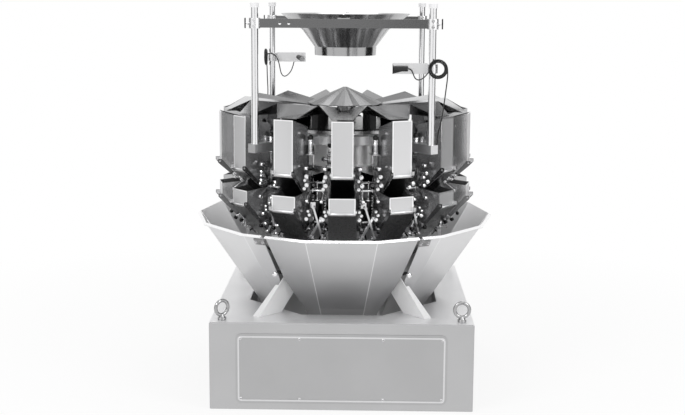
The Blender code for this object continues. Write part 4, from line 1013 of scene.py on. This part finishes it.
def upperFittings():
    # Wing screws and bolts at the bars' clamps, and the bolts of the funnel's tabs
    s = fittingSizes
    z = s["z"]
    parts = []
    for sideX in (-1, 1):
        for sideY in (-1, 1):
            x, y, clampX = sideX * s["wingX"], sideY * s["y"], sideX * s["clampX"]
            wingX = x + sideX * s["wingOut"]
            parts.append(softRod((x - sideX * s["stemIn"], y, z), (x + sideX * s["stemOut"], y, z), s["stem"],
                                 chrome, 12))
            parts.append(softRod((x, y, z), (x + sideX * s["collarOut"], y, z), s["collar"], chrome, 18))
            parts.append(lever((wingX, y, z - s["wingHalf"]), (wingX, y, z + s["wingHalf"]), (1, 0, 0),
                               s["wingWidth"], s["wingThick"], darkSteel))
            for rise in (-s["clampRise"], s["clampRise"]):
                parts.append(hexBolt((clampX, y - s["clampShift"], z + rise), (0, -1, 0), s["clampBolt"],
                                     boltSteel))
    for sideY in (-1, 1):
        y = sideY * s["y"]
        parts.append(hexBolt((0, y, s["tabZ"]), (0, 0, 1), s["tabBolt"], darkSteel))
        parts.append(softRod((0, y, s["studLow"]), (0, y, s["studHigh"]), s["stud"], chrome, 12))
    return joined("upper_fittings", parts)


carried(upperFittings(), "frame")


# Small round unit that stands by the drum: its steps from the foot up, and a cross pin with two bolts

unitSizes = {"angle": math.radians(-13.6), "radius": 0.238, "pinReach": 0.030, "pinZ": 1.006, "pin": 0.0065,
             "bolt": 0.016}
unitSteps = ((0.952, 0.962, 0.030, darkSteel, 28, 0.002), (0.962, 0.984, 0.022, chrome, 28, 0.004),
             (0.984, 1.020, 0.016, boltSteel, 28, 0.003), (1.020, 1.030, 0.019, chrome, 28, 0.003),
             (1.030, 1.058, 0.011, chrome, 24, 0.002), (1.058, 1.074, 0.014, blackPlastic, 24, 0.004))


def drumUnit():
    s = unitSizes
    parts = []
    for low, high, radius, finish, sides, rounding in unitSteps:
        parts.append(softRod((0, 0, low), (0, 0, high), radius, finish, sides, rounding))
    reach, z = s["pinReach"], s["pinZ"]
    parts.append(softRod((-reach, 0, z), (reach, 0, z), s["pin"], chrome, 16, 0.001))
    for side in (-1, 1):
        parts.append(hexBolt((side * reach, 0, z), (side, 0, 0), s["bolt"], boltSteel))
    unit = joined("drum_unit", parts)
    unit.data.transform(Matrix.Translation(outward(s["angle"], s["radius"], 0))
                        @ Matrix.Rotation(s["angle"], 4, "Z"))
    return unit


carried(drumUnit(), "frame")


# Funnel

funnelSizes = {"rimLow": 1.6195}

funnel = takeOver("infeed_funnel", "infeed_funnel_skin", (funnelSteel, funnelRimSteel))
paintFaces(funnel, 1, lambda c, n: c.z > funnelSizes["rimLow"])
softShade(funnel, 30)
carried(funnel, "frame")


# Sensors

sensorSizes = {"left": Vector((-0.2325, 0.4495, 1.408)), "right": Vector((0.2325, -0.4605, 1.408)),
               "barrel": 0.0118, "reach": 0.034, "noseX": 0.246}
aimPoint = Vector((0, 0, 1.300))  # on the cone


def onBarrel(c, side):
    # Whether a point lies on the sensor's round barrel: the left one aims at the cone, the right one along X
    at = sensorSizes[side]
    way = (aimPoint - at).normalized() if side == "left" else Vector((1, 0, 0))
    away = (c - at - way * (c - at).dot(way)).length
    return away < sensorSizes["barrel"] and (c - at).length < sensorSizes["reach"]


for side in ("left", "right"):
    sensor = takeOver("sensor_" + side, "sensor_%s_skin" % side, (armSteel, blackPlastic, chrome))
    paintFaces(sensor, 1, lambda c, n: onBarrel(c, side))
    if side == "right":
        paintFaces(sensor, 2, lambda c, n: onBarrel(c, side) and c.x > sensorSizes["noseX"])
    softShade(sensor, 32)
    carried(sensor, "frame")
print("upper works dressed")


# Sensor leads: a hanging loop, a coil of six turns on the clamp and a run down to the arm

leadSizes = {"diameter": 0.0048, "coilRadius": 0.034, "pitch": 0.0048, "step": 0.006, "easing": 6,
             "postRadius": 0.575, "clampZ": 1.408, "entryZ": 1.080, "entryIn": 0.014, "entryAside": 0.0196}
postMiddle = outward(1.5 * headPitch, leadSizes["postRadius"], leadSizes["clampZ"])


def evenRoute(points, step):
    # Evenly spaced points on a smooth curve through the given ones
    dense = []
    for index in range(len(points) - 1):
        before, start = points[max(index - 1, 0)], points[index]
        end, after = points[index + 1], points[min(index + 2, len(points) - 1)]
        for part in range(24):
            t = part / 24
            dense.append((start * 2 + (end - before) * t + (before * 2 - start * 5 + end * 4 - after) * t ** 2
                          + (start * 3 - before - end * 3 + after) * t ** 3) / 2)
    dense.append(points[-1])
    route, travelled = [dense[0]], 0
    for before, after in zip(dense, dense[1:]):
        travelled += (after - before).length
        if travelled >= step:
            route.append(after)
            travelled = 0
    if (route[-1] - dense[-1]).length < step / 2:
        route.pop()
    route.append(dense[-1])
    for again in range(leadSizes["easing"]):  # eases the corners; the two ends stay
        route = route[:1] + [(before + middle * 2 + after) / 4 for before, middle, after
                             in zip(route, route[1:], route[2:])] + route[-1:]
    return route


def coilTurns(centre, axis, first, spin, lastParts):
    # Three layers of two turns, from the inner layer outwards; first is the unit vector to the start
    s = leadSizes
    second = Vector(axis).cross(first).normalized() * spin
    points = []
    for layer in range(3):
        radius = s["coilRadius"] + (layer - 1) * s["pitch"]
        along = 1 if layer % 2 == 0 else -1
        for part in range(lastParts if layer == 2 else 45):
            turn = layer * 2 + part / 24
            angle = 2 * math.pi * turn
            offset = along * (part / 24 - 1) * s["pitch"]
            points.append(centre + (first * math.cos(angle) + second * math.sin(angle)) * radius
                          + Vector(axis) * max(-s["pitch"], min(s["pitch"] * 1.5, offset)))
    return points


def lead(name, centre, axis, first, spin, lastParts, loop, run):
    s = leadSizes
    points = evenRoute(loop + coilTurns(centre, axis, first, spin, lastParts) + run, s["step"])
    curve = bpy.data.curves.new(name, "CURVE")
    curve.dimensions = "3D"
    curve.bevel_depth = s["diameter"] / 2
    curve.bevel_resolution = 2
    curve.use_fill_caps = True
    spline = curve.splines.new("POLY")
    spline.points.add(len(points) - 1)
    for knot, point in zip(spline.points, points):
        knot.co = (*point, 1)
    item = bpy.data.objects.new(name, curve)
    bpy.context.scene.collection.objects.link(item)
    curve.materials.append(leadRubber)
    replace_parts(item, "lead_" + name.split("_")[1])
    carried(item, "frame")
    return item


def armEntry(angle):
    aside = Vector((math.cos(angle), math.sin(angle), 0))
    s = leadSizes
    return outward(angle, s["postRadius"] - s["entryIn"], s["entryZ"]) + aside * s["entryAside"], aside


def intoArm(entry, aside):
    # Down beside the post and round into the hole in the arm's side
    return [entry + aside * 0.030 + Vector((0, 0, 0.055)), entry + aside * 0.0290 + Vector((0, 0, 0.020)),
            entry + aside * 0.0200 + Vector((0, 0, 0.0050)), entry + aside * 0.009, entry]


def leftLead():
    post = outward(1.5 * headPitch - math.pi, leadSizes["postRadius"], leadSizes["clampZ"])
    through = post + Vector((0.126, 0, 0))
    toCone = (aimPoint - through).normalized()
    start = through - toCone * 0.018
    coil = post + Vector((-0.0303, 0, 0))
    loop = [start - toCone * 0.0006, start - toCone * 0.012, start + Vector((-0.0115, 0.0190, -0.010)),
            start + Vector((-0.0170, 0.0170, -0.034)),
            post + Vector((0.090, 0.020, -0.066)), post + Vector((0.072, 0.008, -0.088)),
            post + Vector((0.055, -0.010, -0.094)), post + Vector((0.043, -0.024, -0.076)),
            post + Vector((0.037, -0.034, -0.040)), post + Vector((0.026, -0.037, -0.002)),
            post + Vector((0.004, -0.038, 0.018)), post + Vector((-0.018, -0.036, 0.020))]
    entry, aside = armEntry(1.5 * headPitch - math.pi)
    run = [coil + Vector((0.0066, -0.0385, -0.030)), coil + Vector((0.008, -0.034, -0.080)),
           coil + Vector((0.010, -0.024, -0.180))] + intoArm(entry, aside)
    first = Vector((0, -math.cos(math.radians(20)), math.sin(math.radians(20))))
    return lead("lead_left_wire", coil, (-1, 0, 0), first, -1, 49, loop, run)


def rightLead():
    post = postMiddle
    start = post + Vector((0.034 - 0.160 + 0.028, -0.011, 0))
    coil = post + Vector((0.022, -0.0303, 0))
    loop = [start + Vector((0.0006, 0, 0)), start + Vector((0.014, 0, 0)),
            start + Vector((0.021, -0.004, -0.022)), start + Vector((0.032, -0.010, -0.044)),
            start + Vector((0.052, -0.016, -0.044)), start + Vector((0.072, -0.018, -0.026))]
    entry, aside = armEntry(1.5 * headPitch)
    run = [coil + Vector((0.0386, 0, -0.030)), coil + Vector((0.034, 0.006, -0.080)),
           coil + Vector((0.020, 0.020, -0.200))] + intoArm(entry, aside)
    first = Vector((-1, 0, 0))
    return lead("lead_right_wire", coil, (0, 1, 0), first, 1, 61, loop, run)


leftLead()
rightLead()
print("leads laid")


# Floor, backdrop light and lamps

def whiteStage():
    pickNothing()
    bpy.ops.mesh.primitive_plane_add(size=60, location=(0, 0, -0.0005))
    floor = named("studio_floor")
    material = bpy.data.materials.new("studioWhite")
    material.use_nodes = True
    tree = material.node_tree
    shader = tree.nodes["Principled BSDF"]
    shader.inputs["Base Color"].default_value = (0.94, 0.94, 0.94, 1)
    shader.inputs["Roughness"].default_value = 0.8
    path = tree.nodes.new("ShaderNodeLightPath")
    seen = tree.nodes.new("ShaderNodeMath")
    seen.operation = "MAXIMUM"
    tree.links.new(path.outputs["Is Camera Ray"], seen.inputs[0])
    tree.links.new(path.outputs["Is Glossy Ray"], seen.inputs[1])
    also = tree.nodes.new("ShaderNodeMath")
    also.operation = "MAXIMUM"
    tree.links.new(seen.outputs[0], also.inputs[0])
    tree.links.new(path.outputs["Is Transmission Ray"], also.inputs[1])
    place = tree.nodes.new("ShaderNodeTexCoord")
    away = tree.nodes.new("ShaderNodeVectorMath")
    away.operation = "LENGTH"
    tree.links.new(place.outputs["Object"], away.inputs[0])
    fade = tree.nodes.new("ShaderNodeMapRange")  # the floor runs into the backdrop without a line
    fade.inputs["From Min"].default_value = 0.9
    fade.inputs["From Max"].default_value = 3.0
    fade.inputs["To Min"].default_value = 0.84
    fade.inputs["To Max"].default_value = 1.0
    tree.links.new(away.outputs["Value"], fade.inputs["Value"])
    part = tree.nodes.new("ShaderNodeMath")
    part.operation = "MULTIPLY"
    tree.links.new(also.outputs[0], part.inputs[0])
    tree.links.new(fade.outputs["Result"], part.inputs[1])
    glow = tree.nodes.new("ShaderNodeEmission")
    glow.inputs["Strength"].default_value = 1
    mix = tree.nodes.new("ShaderNodeMixShader")
    tree.links.new(part.outputs[0], mix.inputs[0])
    tree.links.new(shader.outputs[0], mix.inputs[1])
    tree.links.new(glow.outputs[0], mix.inputs[2])
    tree.links.new(mix.outputs[0], tree.nodes["Material Output"].inputs["Surface"])
    floor.data.materials.append(material)


def whiteWorld(level):
    world = bpy.data.worlds.new("studio_world")
    bpy.context.scene.world = world
    world.use_nodes = True
    tree = world.node_tree
    background = tree.nodes["Background"]
    path = tree.nodes.new("ShaderNodeLightPath")
    seen = tree.nodes.new("ShaderNodeMath")
    seen.operation = "MAXIMUM"
    tree.links.new(path.outputs["Is Camera Ray"], seen.inputs[0])
    tree.links.new(path.outputs["Is Glossy Ray"], seen.inputs[1])
    also = tree.nodes.new("ShaderNodeMath")
    also.operation = "MAXIMUM"
    tree.links.new(seen.outputs[0], also.inputs[0])
    tree.links.new(path.outputs["Is Transmission Ray"], also.inputs[1])
    strength = tree.nodes.new("ShaderNodeMapRange")
    strength.inputs["To Min"].default_value = level
    strength.inputs["To Max"].default_value = 1
    tree.links.new(also.outputs[0], strength.inputs["Value"])
    background.inputs["Color"].default_value = (1, 1, 1, 1)
    tree.links.new(strength.outputs["Result"], background.inputs["Strength"])


def softbox(name, place, aim, size, power):
    data = bpy.data.lights.new(name, "AREA")
    data.shape = "RECTANGLE"
    data.size, data.size_y = size
    data.energy = power
    lamp = bpy.data.objects.new(name, data)
    lamp.location = place
    lamp.rotation_euler = (Vector(aim) - Vector(place)).to_track_quat("-Z", "Y").to_euler()
    bpy.context.scene.collection.objects.link(lamp)


def flag(name, centre, size, turn):
    # A black card beside the set, seen only in the steel, for the dark lines that polished tube shows
    pickNothing()
    bpy.ops.mesh.primitive_plane_add(size=1, location=centre, rotation=(math.radians(90), 0, turn))
    card = bpy.context.object
    card.scale = (size[0], size[1], 1)
    card = named(name)
    card.data.materials.append(flagBlack)
    card.visible_camera = False
    card.visible_diffuse = False
    card.visible_shadow = False


flagBlack = bpy.data.materials.new("flagBlack")
flagBlack.use_nodes = True
flagBlack.node_tree.nodes["Principled BSDF"].inputs["Base Color"].default_value = (0.02, 0.02, 0.02, 1)
flagBlack.node_tree.nodes["Principled BSDF"].inputs["Roughness"].default_value = 0.9
flag("flag_right", (2.9, 0.6, 1.3), (2.2, 2.6), math.radians(-78))
flag("flag_left", (-2.9, -0.4, 1.3), (1.3, 2.6), math.radians(82))
flag("flag_front", (1.3, -6.4, 1.5), (1.0, 2.9), math.radians(12))
whiteStage()
whiteWorld(0.55)
softbox("key_left", (-3.2, -3.6, 4.2), (0, 0, 0.8), (2.4, 2.4), 90)
softbox("fill_right", (3.4, -3.0, 3.0), (0, 0, 0.8), (2.0, 2.4), 55)
softbox("top", (0.2, 0.6, 4.6), (0, 0, 1.0), (3.0, 2.0), 40)


# Camera at the photograph's angle

cameraSizes = {"lens": 61.0, "sensor": 36, "shift": -0.0438, "place": (0.0874, -5.1513, 1.6791),
               "heading": math.radians(1.0754), "down": math.radians(8.682), "roll": math.radians(0.333)}

camera = bpy.data.cameras.new("camera")
camera.lens = cameraSizes["lens"]
camera.sensor_width = cameraSizes["sensor"]
camera.shift_y = cameraSizes["shift"]
viewer = bpy.data.objects.new("camera", camera)
bpy.context.scene.collection.objects.link(viewer)
viewer.matrix_world = (Matrix.Translation(cameraSizes["place"])
                       @ Matrix.Rotation(cameraSizes["heading"], 4, "Z")
                       @ Matrix.Rotation(math.radians(90) - cameraSizes["down"], 4, "X")
                       @ Matrix.Rotation(cameraSizes["roll"], 4, "Z"))
bpy.context.scene.camera = viewer
bpy.context.scene.view_settings.view_transform = "Standard"
print("stage, lamps and camera set")
